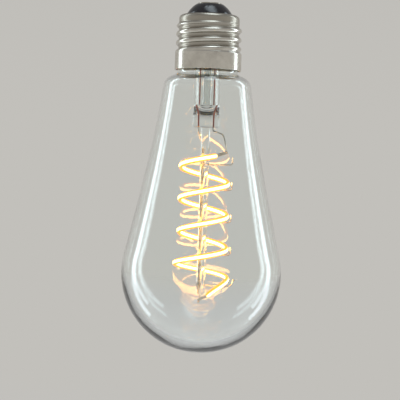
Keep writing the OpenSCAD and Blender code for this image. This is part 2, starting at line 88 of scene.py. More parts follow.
# A pattern's low and high value, and what they become
Range = tuple[float, float, float, float]
Outline = list[Pair]
Shape = bmesh.types.BMesh
Piece = bpy.types.Object
Material = bpy.types.Material
Tree = bpy.types.NodeTree
Node = bpy.types.Node
Socket = bpy.types.NodeSocket


# Numbers and curves


def mix(low: float, high: float, share: float) -> float:
    """Returns the value a share of the way from low to high."""
    return low + (high - low) * share


def clamp(value: float) -> float:
    """Returns the value, held between 0 and 1."""
    return max(0.0, min(1.0, value))


def ease(value: float) -> float:
    """Returns a smooth step from 0 to 1."""
    held = clamp(value)
    return held * held * (3 - 2 * held)


def ease_out(value: float, power: float = 1.6) -> float:
    """Returns a step from 0 to 1 that starts straight and ends softly."""
    return 1 - (1 - clamp(value)) ** power


def arc(centre: Pair, radius: float, start: float, stop: float, steps: int) -> Outline:
    """Returns points along an arc.

    Args:
        centre: Middle of the arc.
        radius: Radius of the arc.
        start: First angle in degrees.
        stop: Last angle in degrees.
        steps: Number of equal steps.

    Returns:
        The points, one more than the steps.
    """
    angles = [math.radians(mix(start, stop, i / steps)) for i in range(steps + 1)]
    return [(centre[0] + radius * math.cos(a), centre[1] + radius * math.sin(a)) for a in angles]


def circle(radius: float, corners: int = 16) -> Outline:
    """Returns the corners of a round section."""
    return arc((0, 0), radius, 0, 360 - 360 / corners, corners - 1)


def bezier(corners: Sequence[Pair], steps: int) -> Outline:
    """Returns points along a cubic curve, without its first one.

    Args:
        corners: Start, two handles and end.
        steps: Number of equal steps.

    Returns:
        The points after the start.
    """
    points = []
    for i in range(1, steps + 1):
        t = i / steps
        s = 1 - t
        weights = (s * s * s, 3 * s * s * t, 3 * s * t * t, t * t * t)
        points.append(tuple(sum(w * c[k] for w, c in zip(weights, corners)) for k in (0, 1)))
    return points


def polar(radius: float, angle: float, height: float) -> Vector:
    """Returns a place from its distance to the axis, its angle in degrees and its height."""
    turn = math.radians(angle)
    return Vector((radius * math.cos(turn), radius * math.sin(turn), height))


def headings(route: Sequence[Vector]) -> list[Vector]:
    """Returns the direction along a line of points, at each point."""
    last = len(route) - 1
    return [(route[min(i + 1, last)] - route[max(i - 1, 0)]).normalized() for i in range(last + 1)]


def rounded(route: Sequence[Vector], reach: float = 1.2, most: float = 0.48, steps: int = 8) -> list[Vector]:
    """Rounds the corners of a line of points, as a bent wire's are.

    Args:
        route: The points.
        reach: Longest distance from a corner at which its bend starts.
        most: Largest share of the line's straight parts that a bend takes up.
        steps: Steps in each bend.

    Returns:
        The line with a bend in place of each corner.
    """
    bent = [route[0]]
    for before, corner, after in zip(route, route[1:], route[2:]):
        room = min(reach, most * (corner - before).length, most * (after - corner).length)
        first = corner + (before - corner).normalized() * room
        last = corner + (after - corner).normalized() * room
        for j in range(steps + 1):
            t = j / steps
            bent.append(first.lerp(corner, t).lerp(corner.lerp(last, t), t))
    return bent + [route[-1]]


def wrinkle(place: Vector, waves: Sequence[Pair]) -> float:
    """Returns how far a wrinkled skin moves at a place, from the depth and fineness of each wave in it."""
    return sum(depth * abs(noise.noise(place * fine)) for depth, fine in waves)


# Shapes


def placed(name: str, data: bpy.types.ID) -> Piece:
    """Puts a mesh, light or camera in the scene.

    Args:
        name: Name of the object.
        data: What it shows.

    Returns:
        The object, at the origin.
    """
    thing = bpy.data.objects.new(name, data)
    bpy.context.scene.collection.objects.link(thing)
    return thing


def solid(shape: Shape, name: str) -> Piece:
    """Makes an object of a shape in metres, which is freed.

    Args:
        shape: The shape.
        name: Name of the object.

    Returns:
        The object.
    """
    mesh = bpy.data.meshes.new(name)
    shape.to_mesh(mesh)
    shape.free()
    return placed(name, mesh)


def lathe(outline: Outline, around: int = 96) -> Shape:
    """Turns a closed outline round the lamp's axis.

    Args:
        outline: Corners of the section as (radius, height), in order. Two of them may lie on the axis.
        around: Number of steps in the turn.

    Returns:
        The shape.
    """
    bm = bmesh.new()
    corners = [bm.verts.new((radius, 0, height)) for radius, height in outline]
    edges = [bm.edges.new((one, two)) for one, two in zip(corners, corners[1:] + corners[:1])
             if max(one.co.x, two.co.x) > ON_AXIS]
    bmesh.ops.spin(bm, geom=corners + edges, cent=(0, 0, 0), axis=(0, 0, 1), dvec=(0, 0, 0),
                   angle=math.tau, steps=around, use_merge=True, use_duplicate=False)
    bmesh.ops.remove_doubles(bm, verts=bm.verts, dist=SAME_CORNER)
    bmesh.ops.recalc_face_normals(bm, faces=bm.faces)
    return bm


def disc(bm: Shape, corners: int) -> tuple[list[bmesh.types.BMVert], bmesh.types.BMFace]:
    """Starts a shape with a flat end.

    Args:
        bm: The bmesh that gets the shape.
        corners: Number of corners.

    Returns:
        The end's vertices and its face.
    """
    ring = bmesh.ops.create_circle(bm, cap_ends=True, radius=1, segments=corners)["verts"]
    return ring, next(face for face in ring[0].link_faces if len(face.verts) == corners)


def grown(bm: Shape, end: bmesh.types.BMFace) -> bmesh.types.BMFace:
    """Extrudes the end of a shape in place.

    Args:
        bm: The bmesh that holds the shape.
        end: The end face. It stays only if it is still the whole shape, and so its other end.

    Returns:
        The new end face.
    """
    inside = all(len(edge.link_faces) == 2 for edge in end.edges)
    made = bmesh.ops.extrude_face_region(bm, geom=[end])["geom"]
    if inside:
        bmesh.ops.delete(bm, geom=[end], context="FACES_ONLY")
    return next(part for part in made if isinstance(part, bmesh.types.BMFace))


def loft(corners: int, levels: Sequence[float], place: Callable[[float, float], Vector]) -> Shape:
    """Extrudes a ring through a row of levels and sets each corner's place by its angle.

    Args:
        corners: Number of corners in a ring.
        levels: The levels, from one end to the other.
        place: Gives a corner's place from its angle in radians and its level.

    Returns:
        The shape.
    """
    bm = bmesh.new()
    angle = bm.verts.layers.float.new("angle")
    ring, face = disc(bm, corners)
    for k, vert in enumerate(ring):
        vert[angle] = math.tau * k / corners
        vert.co = place(vert[angle], levels[0])
    for level in levels[1:]:
        face = grown(bm, face)
        for vert in face.verts:
            vert.co = place(vert[angle], level)
    bm.verts.layers.float.remove(angle)
    bmesh.ops.recalc_face_normals(bm, faces=bm.faces)
    return bm


@dataclass(frozen=True)
class Station:
    """A place along a swept piece: where it is, which way it faces and how thick it is there."""

    place: Vector
    heading: Vector
    outward: Vector
    size: float = 1.0

    def matrix(self) -> Matrix:
        """Puts a flat section in its place.

        Returns:
            The turn, scale and move that do so.
        """
        side = self.heading.cross(self.outward)
        turned = Matrix((self.outward, side, self.heading)).transposed().to_4x4()
        return Matrix.Translation(self.place) @ turned @ Matrix.Scale(self.size, 4)


def sweep(section: Outline, *lines: Sequence[Station]) -> Shape:
    """Draws a closed section along rows of stations.

    Each vertex also keeps its place in the straightened piece, as an attribute in metres: how far
    out and how far across it lies, and how far along.

    Args:
        section: Corners of the section as (out, across).
        lines: Where the section goes, from one end of each piece to the other.

    Returns:
        The shape.
    """
    bm = bmesh.new()
    straight = bm.verts.layers.float_vector.new(STRAIGHT)
    for stations in lines:
        ring, face = disc(bm, len(section))
        for vert, (out, across) in zip(ring, section):
            vert.co = (out, across, 0)
            vert[straight] = Vector((out, across, 0)) * MM
        face.normal_update()
        last = stations[0].matrix()
        bmesh.ops.transform(bm, matrix=last, verts=ring)
        along = 0.0
        for before, station in zip(stations, stations[1:]):
            face = grown(bm, face)
            move = station.matrix()
            bmesh.ops.transform(bm, matrix=move @ last.inverted(), verts=face.verts)
            along += (station.place - before.place).length
            for vert in face.verts:
                vert[straight].z = along * MM
            last = move
    bmesh.ops.recalc_face_normals(bm, faces=bm.faces)
    return bm


def carried(route: Sequence[Vector], sizes: Sequence[float] | None = None) -> list[Station]:
    """Returns stations along a wire, whose sideways direction is carried on without a twist.

    Args:
        route: The points of the wire.
        sizes: Thickness at each point, as a share of the wire's.

    Returns:
        One station for each point.
    """
    aims = headings(route)
    out = aims[0].orthogonal().normalized()
    stations = []
    for i, (place, aim) in enumerate(zip(route, aims)):
        out = (out - aim * out.dot(aim)).normalized()
        stations.append(Station(place, aim, out, sizes[i] if sizes else 1.0))
    return stations


# Materials


def linear(hex_colour: str) -> tuple[float, float, float, float]:
    """Turns an sRGB hex colour such as "#C8C4BA" into linear red, green, blue and alpha."""
    parts = [int(hex_colour[i:i + 2], 16) / 255 for i in (1, 3, 5)]
    return (*[p / 12.92 if p <= 0.04045 else ((p + 0.055) / 1.055) ** 2.4 for p in parts], 1.0)


def per(size: float) -> float:
    """Returns the scale at which a pattern repeats about once in a size in millimetres."""
    return 1 / (size * MM)


def emptied(owner: Material | bpy.types.World | bpy.types.Light) -> Tree:
    """Clears the node tree of a material, world or light.

    Args:
        owner: What has the tree.

    Returns:
        The empty tree.
    """
    owner.use_nodes = True
    owner.node_tree.nodes.clear()
    return owner.node_tree


def add(tree: Tree, kind: str, inputs: dict | Sequence = (), **settings: str) -> Node:
    """Adds a node with its settings and links.

    Args:
        tree: The tree.
        kind: Type of the node, without its ShaderNode prefix.
        inputs: What the node's inputs get, by name or number, or in their order: a value, a hex colour,
            an output of another node, or another node for its first output.
        settings: Attributes to set on the node.

    Returns:
        The node.
    """
    node = tree.nodes.new("ShaderNode" + kind)
    for key, value in settings.items():
        setattr(node, key, value)
    for key, value in inputs.items() if isinstance(inputs, dict) else enumerate(inputs):
        if isinstance(value, Node):
            value = value.outputs[0]
        if isinstance(value, Socket):
            tree.links.new(value, node.inputs[key])
        else:
            node.inputs[key].default_value = linear(value) if isinstance(value, str) else value
    return node


@dataclass(frozen=True)
class Grain:
    """A pattern of soft marks: their real size in millimetres, how fine they break up and how much."""

    size: float
    detail: float = 3.0
    rough: float = 0.55

    def at(self, where: Node | Socket) -> dict[str, object]:
        """Returns the inputs of the noise that draws it on these coordinates."""
        return {"Vector": where, "Scale": per(self.size), "Detail": self.detail, "Roughness": self.rough}


@dataclass(frozen=True)
class Relief:
    """How deep a pattern goes in millimetres, and how much of that shows."""

    depth: float
    strength: float = 1.0


def surface(tree: Tree, colour: str, coats: Sequence[tuple[Node, str]],
            reliefs: Sequence[tuple[Node, Relief]], inputs: dict[str, object]) -> Node:
    """Adds a surface of colours and reliefs, each laid over the ones before it.

    Args:
        tree: The material's tree.
        colour: The colour under all others.
        coats: The other colours, each after the pattern that is its share.
        reliefs: The reliefs, each after its pattern.
        inputs: What the shader's other inputs get.

    Returns:
        The shader.
    """
    for share, over in coats:
        colour = add(tree, "Mix", {0: share, FIRST: colour, SECOND: over}, data_type="RGBA").outputs[BLEND]
    below = {}
    for pattern, relief in reliefs:
        height = {"Height": pattern, "Distance": relief.depth * MM, "Strength": relief.strength}
        below = {"Normal": add(tree, "Bump", height | below)}
    return add(tree, "BsdfPrincipled", {"Base Color": colour} | inputs | below)


@dataclass(frozen=True)
class Finish:
    """What every finish has: a name for its material, coordinates for its patterns, and a shader."""

    name: str

    def make(self) -> Material:
        """Makes the material.

        Returns:
            The material.
        """
        material = bpy.data.materials.new(self.name)
        tree = emptied(material)
        add(tree, "OutputMaterial", [self.shader(tree, self.place(tree))])
        return material

    def place(self, tree: Tree) -> Socket:
        """Returns the coordinates of the piece as it lies in the lamp."""
        return add(tree, "TexCoord").outputs["Object"]

    def shader(self, tree: Tree, where: Socket) -> Node:
        """Adds the patterns and the shader.

        Args:
            tree: The material's tree.
            where: The patterns' coordinates.

        Returns:
            The shader.
        """
        raise NotImplementedError


@dataclass(frozen=True)
class FollowingFinish(Finish):
    """A finish whose patterns follow the bends of a swept piece."""

    def place(self, tree: Tree) -> Socket:
        """Returns the coordinates of the straightened piece."""
        return add(tree, "Attribute", attribute_name=STRAIGHT).outputs["Vector"]


@dataclass(frozen=True)
class BlownGlass(Finish):
    """Clear soda-lime glass, blown in a wetted mould and fire-polished, so it has long soft ripples.
    Its wall is thin, so light that would throw a shadow goes straight through, hardly dimmed."""

    tint: str = "#FBFDFC"
    shade: str = "#EEF2F2"
    ior: float = 1.52
    ripple: Grain = Grain(26.0, 1.0)
    ripple_relief: Relief = Relief(0.12)
    draw: Grain = Grain(3.0, 1.0)
    draw_squeeze: Triple = (1, 1, 0.12)
    draw_relief: Relief = Relief(0.012, 0.5)

    def shader(self, tree: Tree, where: Socket) -> Node:
        """Adds clear glass for what is seen, and a tinted gap for shadow rays.

        Args:
            tree: The material's tree.
            where: The patterns' coordinates.

        Returns:
            The shader.
        """
        along = add(tree, "Mapping", {"Vector": where, "Scale": self.draw_squeeze})
        ripple, drawn = (add(tree, "TexNoise", self.ripple.at(where)),
                         add(tree, "TexNoise", self.draw.at(along)))
        glass = surface(tree, self.tint, (), [(ripple, self.ripple_relief), (drawn, self.draw_relief)],
                        {"Roughness": 0.0, "IOR": self.ior, "Transmission Weight": 1.0})
        shadow = add(tree, "LightPath").outputs["Is Shadow Ray"]
        return add(tree, "MixShader", [shadow, glass, add(tree, "BsdfTransparent", [self.shade])])


@dataclass(frozen=True)
class GlowingSilicone(FollowingFinish):
    """Soft silicone with yellow phosphor, cast over the strip. Lit, its middle is white-hot to the eye
    and only its thin edges keep their amber."""

    body: str = "#F2A93C"
    heart: str = "#FFC063"
    edge: str = "#FF9F35"
    strength: float = 30.0
    dimmest: float = 0.035
    half_width: float = 1.1
    # Width of the rim that stays dim, and the share of the rest in which the light is full
    rim: float = 0.42
    full: float = 0.5
    chips: Grain = Grain(1.6, 2.0)
    chip_squeeze: Triple = (0.2, 0.2, 1)
    chip_light: Pair = (0.82, 1.0)
    skin: Grain = Grain(0.35)
    skin_rough: Pair = (0.38, 0.52)
    skin_relief: Relief = Relief(0.03)

    def shader(self, tree: Tree, where: Socket) -> Node:
        """Adds the silicone and its light, which fades across the strip and varies a little along it.

        Args:
            tree: The material's tree.
            where: The patterns' coordinates.

        Returns:
            The shader.
        """
        side = add(tree, "SeparateXYZ", [where]).outputs["Y"]
        across = add(tree, "Math", [side], operation="ABSOLUTE")
        inner = (self.half_width - self.rim) * MM
        middle = add(tree, "MapRange", [across, inner, self.full * inner, 0, 1], interpolation_type=SMOOTH)
        along = add(tree, "Mapping", {"Vector": where, "Scale": self.chip_squeeze})
        chips = add(tree, "TexNoise", self.chips.at(along))
        chips = add(tree, "MapRange", [chips, *USUAL, *self.chip_light])
        lit = add(tree, "Math", [middle, chips], operation="MULTIPLY")
        colour = add(tree, "Mix", {0: lit, FIRST: self.edge, SECOND: self.heart}, data_type="RGBA")
        level = add(tree, "MapRange", [lit, 0, 1, self.dimmest, 1])
        light = add(tree, "VectorMath", {0: colour.outputs[BLEND], "Scale": level}, operation="SCALE")
        skin = add(tree, "TexNoise", self.skin.at(where))
        return surface(tree, self.body, [(skin, self.edge)], [(skin, self.skin_relief)], {
            "Roughness": add(tree, "MapRange", [skin, *USUAL, *self.skin_rough]),
            "Emission Color": light, "Emission Strength": self.strength})


@dataclass(frozen=True)
class PlatedSheet(Finish):
    """Bright nickel on rolled sheet: a mirror with fine rings from the rolling, dulled in the grooves.
    The real rings are finer still, and these are as coarse as they need to be to show."""

    bright: str = "#D9D5CC"
    dull: str = "#A9A398"
    groove_r: float = 12.2
    crest_r: float = 13.0
    rings: Grain = Grain(0.09, 2.0)
    ring_squeeze: Triple = (0.04, 0.04, 1)
    ring_relief: Relief = Relief(0.004, 0.7)
    smudge: Grain = Grain(5.0, 4.0, 0.6)
    smudge_shine: Pair = (0.55, 1.0)
    pits: Grain = Grain(0.25, 2.0)
    pit_relief: Relief = Relief(0.004, 0.6)
    shine_rough: Range = (-0.6, 0.6, 0.34, 0.16)

    def shader(self, tree: Tree, where: Socket) -> Node:
        """Adds the metal, which is brightest on the crests, where it is rubbed.

        Args:
            tree: The material's tree.
            where: The patterns' coordinates.

        Returns:
            The shader.
        """
        rings = add(tree, "Mapping", {"Vector": where, "Scale": self.ring_squeeze})
        rings = add(tree, "TexNoise", self.rings.at(rings))
        flat = add(tree, "Mapping", {"Vector": where, "Scale": (1, 1, 0)})
        reach = add(tree, "VectorMath", [flat], operation="LENGTH").outputs["Value"]
        rubbed = add(tree, "MapRange", [reach, self.groove_r * MM, self.crest_r * MM, 0, 1],
                     interpolation_type=SMOOTH)
        smudge = add(tree, "TexNoise", self.smudge.at(where))
        clean = add(tree, "MapRange", [smudge, *MIDDLE, *self.smudge_shine])
        bright = add(tree, "Math", [rubbed, clean], operation="MULTIPLY")
        shine = add(tree, "Math", [bright, rings], operation="SUBTRACT")
        pits = add(tree, "TexNoise", self.pits.at(where))
        return surface(tree, self.dull, [(bright, self.bright)],
                       [(rings, self.ring_relief), (pits, self.pit_relief)],
                       {"Metallic": 1.0, "Roughness": add(tree, "MapRange", [shine, *self.shine_rough])})


@dataclass(frozen=True)
class DrawnWire(FollowingFinish):
    """Wire drawn through a die, which leaves fine lines along it, here as coarse as they need to be to
    show, and dulled in patches by the heat of sealing."""

    bright: str = "#DAD5CA"
    dull: str = "#ABA598"
    smooth: float = 0.2
    uneven: float = 0.2
    lines: Grain = Grain(0.12, 2.0)
    line_squeeze: Triple = (1, 1, 0.03)
    line_relief: Relief = Relief(0.01)
    bloom: Grain = Grain(1.5, 4.0)

    def shader(self, tree: Tree, where: Socket) -> Node:
        """Adds the metal with its lines and patches.

        Args:
            tree: The material's tree.
            where: The patterns' coordinates.

        Returns:
            The shader.
        """
        lines = add(tree, "Mapping", {"Vector": where, "Scale": self.line_squeeze})
        lines = add(tree, "TexNoise", self.lines.at(lines))
        bloom = add(tree, "MapRange", [add(tree, "TexNoise", self.bloom.at(where)), *MIDDLE, 0, 1])
        rough = add(tree, "MapRange", [lines, *USUAL, self.smooth, self.smooth + self.uneven])
        return surface(tree, self.dull, [(bloom, self.bright)], [(lines, self.line_relief)],
                       {"Metallic": 1.0, "Roughness": rough})


@dataclass(frozen=True)
class PressedGlass(Finish):
    """Black glass pressed hot into the cap: glossy, with cold folds where it flowed, and a little dust."""

    body: str = "#0E0D10"
    fold: str = "#1B191F"
    ior: float = 1.55
    flow: Grain = Grain(3.5, 3.0, 0.5)
    swirl: float = 1.4
    flow_relief: Relief = Relief(0.12)
    dust: Grain = Grain(0.3, 4.0)
    dust_rough: Range = (0.35, 0.75, 0.07, 0.24)
    dust_relief: Relief = Relief(0.006, 0.5)

    def shader(self, tree: Tree, where: Socket) -> Node:
        """Adds the glass with its folds and dust.

        Args:
            tree: The material's tree.
            where: The patterns' coordinates.

        Returns:
            The shader.
        """
        flow = add(tree, "TexNoise", self.flow.at(where) | {"Distortion": self.swirl})
        dust = add(tree, "TexNoise", self.dust.at(where))
        return surface(tree, self.body, [(flow, self.fold)],
                       [(flow, self.flow_relief), (dust, self.dust_relief)],
                       {"IOR": self.ior, "Roughness": add(tree, "MapRange", [dust, *self.dust_rough])})


@dataclass(frozen=True)
class SoftSolder(Finish):
    """Tin solder that froze in the air: grey, with a crinkled skin of small crystals."""

    bright: str = "#C4C5C6"
    dull: str = "#83858A"
    crystal: float = 0.35
    crystal_rough: Range = (0, 0.8, 0.24, 0.5)
    crystal_relief: Relief = Relief(0.03, 0.6)
    skin: Grain = Grain(0.9, 4.0)
    skin_relief: Relief = Relief(0.08)

    def shader(self, tree: Tree, where: Socket) -> Node:
        """Adds the metal with its crystals.

        Args:
            tree: The material's tree.
            where: The patterns' coordinates.

        Returns:
            The shader.
        """
        crystals = add(tree, "TexVoronoi", {"Vector": where, "Scale": per(self.crystal)})
        skin = add(tree, "TexNoise", self.skin.at(where))
        rough = add(tree, "MapRange", [crystals, *self.crystal_rough])
        return surface(tree, self.dull, [(skin, self.bright)],
                       [(skin, self.skin_relief), (crystals, self.crystal_relief)],
                       {"Metallic": 1.0, "Roughness": rough})


@dataclass(frozen=True)
class BakedCement(Finish):
    """Resin and marble flour baked hard: matt, sandy, and browned in wide spots and in single grains."""

    pale: str = "#D8CDB4"
    brown: str = "#A98F68"
    rough: float = 0.92
    burn: Grain = Grain(4.0)
    burn_share: Range = (0.45, 0.7, 0, 0.8)
    sand: Grain = Grain(0.22, 5.0, 0.7)
    sand_share: Range = (0.4, 0.8, 0, 0.5)
    sand_relief: Relief = Relief(0.12)

    def shader(self, tree: Tree, where: Socket) -> Node:
        """Adds the cement with its spots.

        Args:
            tree: The material's tree.
            where: The patterns' coordinates.

        Returns:
            The shader.
        """
        sand = add(tree, "TexNoise", self.sand.at(where))
        burnt = add(tree, "MapRange", [add(tree, "TexNoise", self.burn.at(where)), *self.burn_share])
        grains = add(tree, "MapRange", [sand, *self.sand_share])
        return surface(tree, self.pale, [(burnt, self.brown), (grains, self.brown)],
                       [(sand, self.sand_relief)], {"Roughness": self.rough})


@dataclass(frozen=True)
class MouldedPlastic(Finish):
    """Plastic, film or crystal with the faint sparkle of its moulded, dipped, etched or sawn skin, which
    is as coarse here as it needs to be to show."""

    body: str = "#E6E4DC"
    shade: str = "#D2CEC2"
    rough: float = 0.45
    spark: float = 0.18
    spark_detail: float = 2.0
    spark_rough: Pair = (-0.08, 0.12)
    spark_relief: Relief = Relief(0.015)
    flow: Grain = Grain(6.0, 2.0)

    def shader(self, tree: Tree, where: Socket) -> Node:
        """Adds the plastic with its sparkle.

        Args:
            tree: The material's tree.
            where: The patterns' coordinates.

        Returns:
            The shader.
        """
        skin = add(tree, "TexNoise", Grain(self.spark, self.spark_detail).at(where))
        flow = add(tree, "TexNoise", self.flow.at(where))
        rough = add(tree, "MapRange", [skin, *USUAL, *[self.rough + change for change in self.spark_rough]])
        return surface(tree, self.body, [(flow, self.shade)], [(skin, self.spark_relief)],
                       {"Roughness": rough})


@dataclass(frozen=True)
class Laminate(Finish):
    """Glass-epoxy board under a green mask: the weave shows, and copper runs lie raised under the green."""

    mask: str = "#1E5B38"
    over_copper: str = "#3C8A50"
    run: float = 2.4
    run_edge: Pair = (0.42, 0.5)
    run_relief: Relief = Relief(0.04)
    thread: float = 0.5
    waver: float = 0.4
    cloth_rough: Pair = (0.28, 0.42)
    cloth_relief: Relief = Relief(0.01, 0.5)

    def shader(self, tree: Tree, where: Socket) -> Node:
        """Adds the board with its runs and its weave.

        Args:
            tree: The material's tree.
            where: The patterns' coordinates.

        Returns:
            The shader.
        """
        cells = add(tree, "TexVoronoi", {"Vector": where, "Scale": per(self.run)}, distance="MANHATTAN")
        runs = add(tree, "MapRange", [cells, *self.run_edge, 0, 1], interpolation_type=SMOOTH)
        threads = {"Vector": where, "Scale": per(self.thread) * BAND, "Distortion": self.waver}
        weave = [add(tree, "TexWave", threads, bands_direction=way).outputs["Fac"] for way in ("X", "Y")]
        cloth = add(tree, "Math", weave, operation="MULTIPLY")
        return surface(tree, self.mask, [(runs, self.over_copper)],
                       [(runs, self.run_relief), (cloth, self.cloth_relief)],
                       {"Roughness": add(tree, "MapRange", [cloth, 0, 1, *self.cloth_rough])})


@dataclass(frozen=True)
class BraidedFibre(Finish):
    """A braid of glass fibre: two sets of slanting strands over and under each other."""

    pale: str = "#E4DCC6"
    shade: str = "#A99C7E"
    strand: float = 0.28
    waver: float = 0.6
    rough: float = 0.8
    sheen: float = 0.3
    relief: Relief = Relief(0.08)

    def shader(self, tree: Tree, where: Socket) -> Node:
        """Adds the braid.

        Args:
            tree: The material's tree.
            where: The patterns' coordinates.

        Returns:
            The shader.
        """
        braid = []
        for slant in (1, -1):
            way = add(tree, "Mapping", {"Vector": where, "Scale": (1, slant, 1)})
            strands = {"Vector": way, "Scale": per(self.strand) * BAND, "Distortion": self.waver}
            braid.append(add(tree, "TexWave", strands, bands_direction="DIAGONAL").outputs["Fac"])
        over = add(tree, "Math", braid, operation="MAXIMUM")
        return surface(tree, self.shade, [(over, self.pale)], [(over, self.relief)],
                       {"Roughness": self.rough, "Sheen Weight": self.sheen})


@dataclass(frozen=True)
class CanSleeve(Finish):
    """A plastic sleeve shrunk over an aluminium can: blue-black and glossy, with a pale stripe along it
    and the bare metal at its rounded end."""

    sleeve: str = "#16284A"
    thin: str = "#1D3358"
    stripe: str = "#B9C4D2"
    metal: str = "#B8B9BC"
    # Where the bare end and the stripe begin and where they are full, in millimetres
    bare_x: Pair = (4.4, 4.5)
    stripe_y: Pair = (6.6, 6.8)
    skin: Grain = Grain(1.2)
    skin_rough: Pair = (0.2, 0.36)
    skin_relief: Relief = Relief(0.03)

    def shader(self, tree: Tree, where: Socket) -> Node:
        """Adds the sleeve, its stripe and the bare metal, each by its place on the can.

        Args:
            tree: The material's tree.
            where: The patterns' coordinates.

        Returns:
            The shader.
        """
        parts = add(tree, "SeparateXYZ", [where]).outputs
        bare, stripe = [add(tree, "MapRange", [parts[axis], start * MM, stop * MM, 0, 1])
                        for axis, (start, stop) in (("X", self.bare_x), ("Y", self.stripe_y))]
        skin = add(tree, "TexNoise", self.skin.at(where))
        return surface(tree, self.sleeve, [(skin, self.thin), (stripe, self.stripe), (bare, self.metal)],
                       [(skin, self.skin_relief)], {
                           "Metallic": bare,
                           "Roughness": add(tree, "MapRange", [skin, *USUAL, *self.skin_rough])})


@dataclass(frozen=True)
class PaintedFloor(Finish):
    """Matt floor paint laid on with a roller. Far from the lamp it fades into the surround, and from
    below nothing of it shows."""

    paint: str = "#EDEBE7"
    surround: str = SURROUND
    rough: float = 0.85
    # Metres from the lamp at which the fading starts and ends
    fade: Pair = (2.1, 4.2)
    roller: Grain = Grain(2.0)
    roller_relief: Relief = Relief(0.1, 0.3)

    def shader(self, tree: Tree, where: Socket) -> Node:
        """Adds the paint and what it fades into.

        Args:
            tree: The material's tree.
            where: The patterns' coordinates, which also tell how far from the lamp a place is.

        Returns:
            The shader.
        """
        roller = add(tree, "TexNoise", self.roller.at(where))
        paint = surface(tree, self.paint, (), [(roller, self.roller_relief)], {"Roughness": self.rough})
        away = add(tree, "VectorMath", [where], operation="LENGTH").outputs["Value"]
        far = add(tree, "MapRange", [away, *self.fade, 0, 1], interpolation_type=SMOOTH)
        shown = add(tree, "MixShader", [far, paint, add(tree, "Emission", [self.surround, 1.0])])
        below = add(tree, "NewGeometry").outputs["Backfacing"]
        return add(tree, "MixShader", [below, shown, add(tree, "BsdfTransparent")])


class Slot(Enum):
    """The record's material slots."""

    CLEAR_GLASS = "clear_glass"
    SILICONE = "phosphor_silicone"
    STRIP = "carrier_strip"
    CHIPS = "led_chips"
    WIRE = "nickel_wire"
    SEAL_WIRE = "dumet_wire"
    SHELL = "nickel_shell"
    BLACK_GLASS = "black_glass"
    SOLDER = "solder"
    CEMENT = "cement"
    WHITE_PLASTIC = "white_plastic"
    BOARD = "board"
    RESIN = "black_resin"
    CAN = "can_sleeve"
    RESISTOR = "resistor_coat"
    BRAID = "fibre_sleeve"
    INSULATION = "wire_insulation"


FINISHES: dict[Slot, Finish] = {
    Slot.CLEAR_GLASS: BlownGlass("blown_soda_lime_glass"),
    Slot.SILICONE: GlowingSilicone("glowing_phosphor_silicone"),
    # Amber film with a satin face
    Slot.STRIP: MouldedPlastic("etched_polyimide_strip", "#B5762A", "#8E5A1C", rough=0.35, spark=0.3),
    # Pale and glassy, with the finest sparkle of all
    Slot.CHIPS: MouldedPlastic("sawn_sapphire_chips", "#D9DCCB", "#B9C2A8", rough=0.2, spark=0.1),
    Slot.WIRE: DrawnWire("drawn_nickel_wire"),
    # Copper red, and duller than the nickel wire
    Slot.SEAL_WIRE: DrawnWire("borated_copper_clad_wire", "#B8674A", "#7A2E22", smooth=0.3),
    Slot.SHELL: PlatedSheet("rolled_nickel_plate"),
    Slot.BLACK_GLASS: PressedGlass("pressed_black_glass"),
    Slot.SOLDER: SoftSolder("frozen_tin_solder"),
    Slot.CEMENT: BakedCement("baked_basing_cement"),
    Slot.WHITE_PLASTIC: MouldedPlastic("moulded_white_polyester"),
    Slot.BOARD: Laminate("masked_glass_epoxy"),
    # Black, between matt and satin, with a fine grit
    Slot.RESIN: MouldedPlastic("moulded_black_epoxy", "#17171A", "#232327", rough=0.5, spark=0.12),
    Slot.CAN: CanSleeve("shrunk_can_sleeve"),
    # Grey-green, the mattest of them, with coarse grit
    Slot.RESISTOR: MouldedPlastic("dipped_flameproof_coat", "#7E9B7C", "#5F7D62", rough=0.55, spark=0.4),
    Slot.BRAID: BraidedFibre("braided_glass_fibre"),
    # Off-white and satin, with wide soft marks from the die
    Slot.INSULATION: MouldedPlastic("extruded_wire_insulation", "#E9E7E2", "#D6D2C9", rough=0.3, spark=0.5),
}


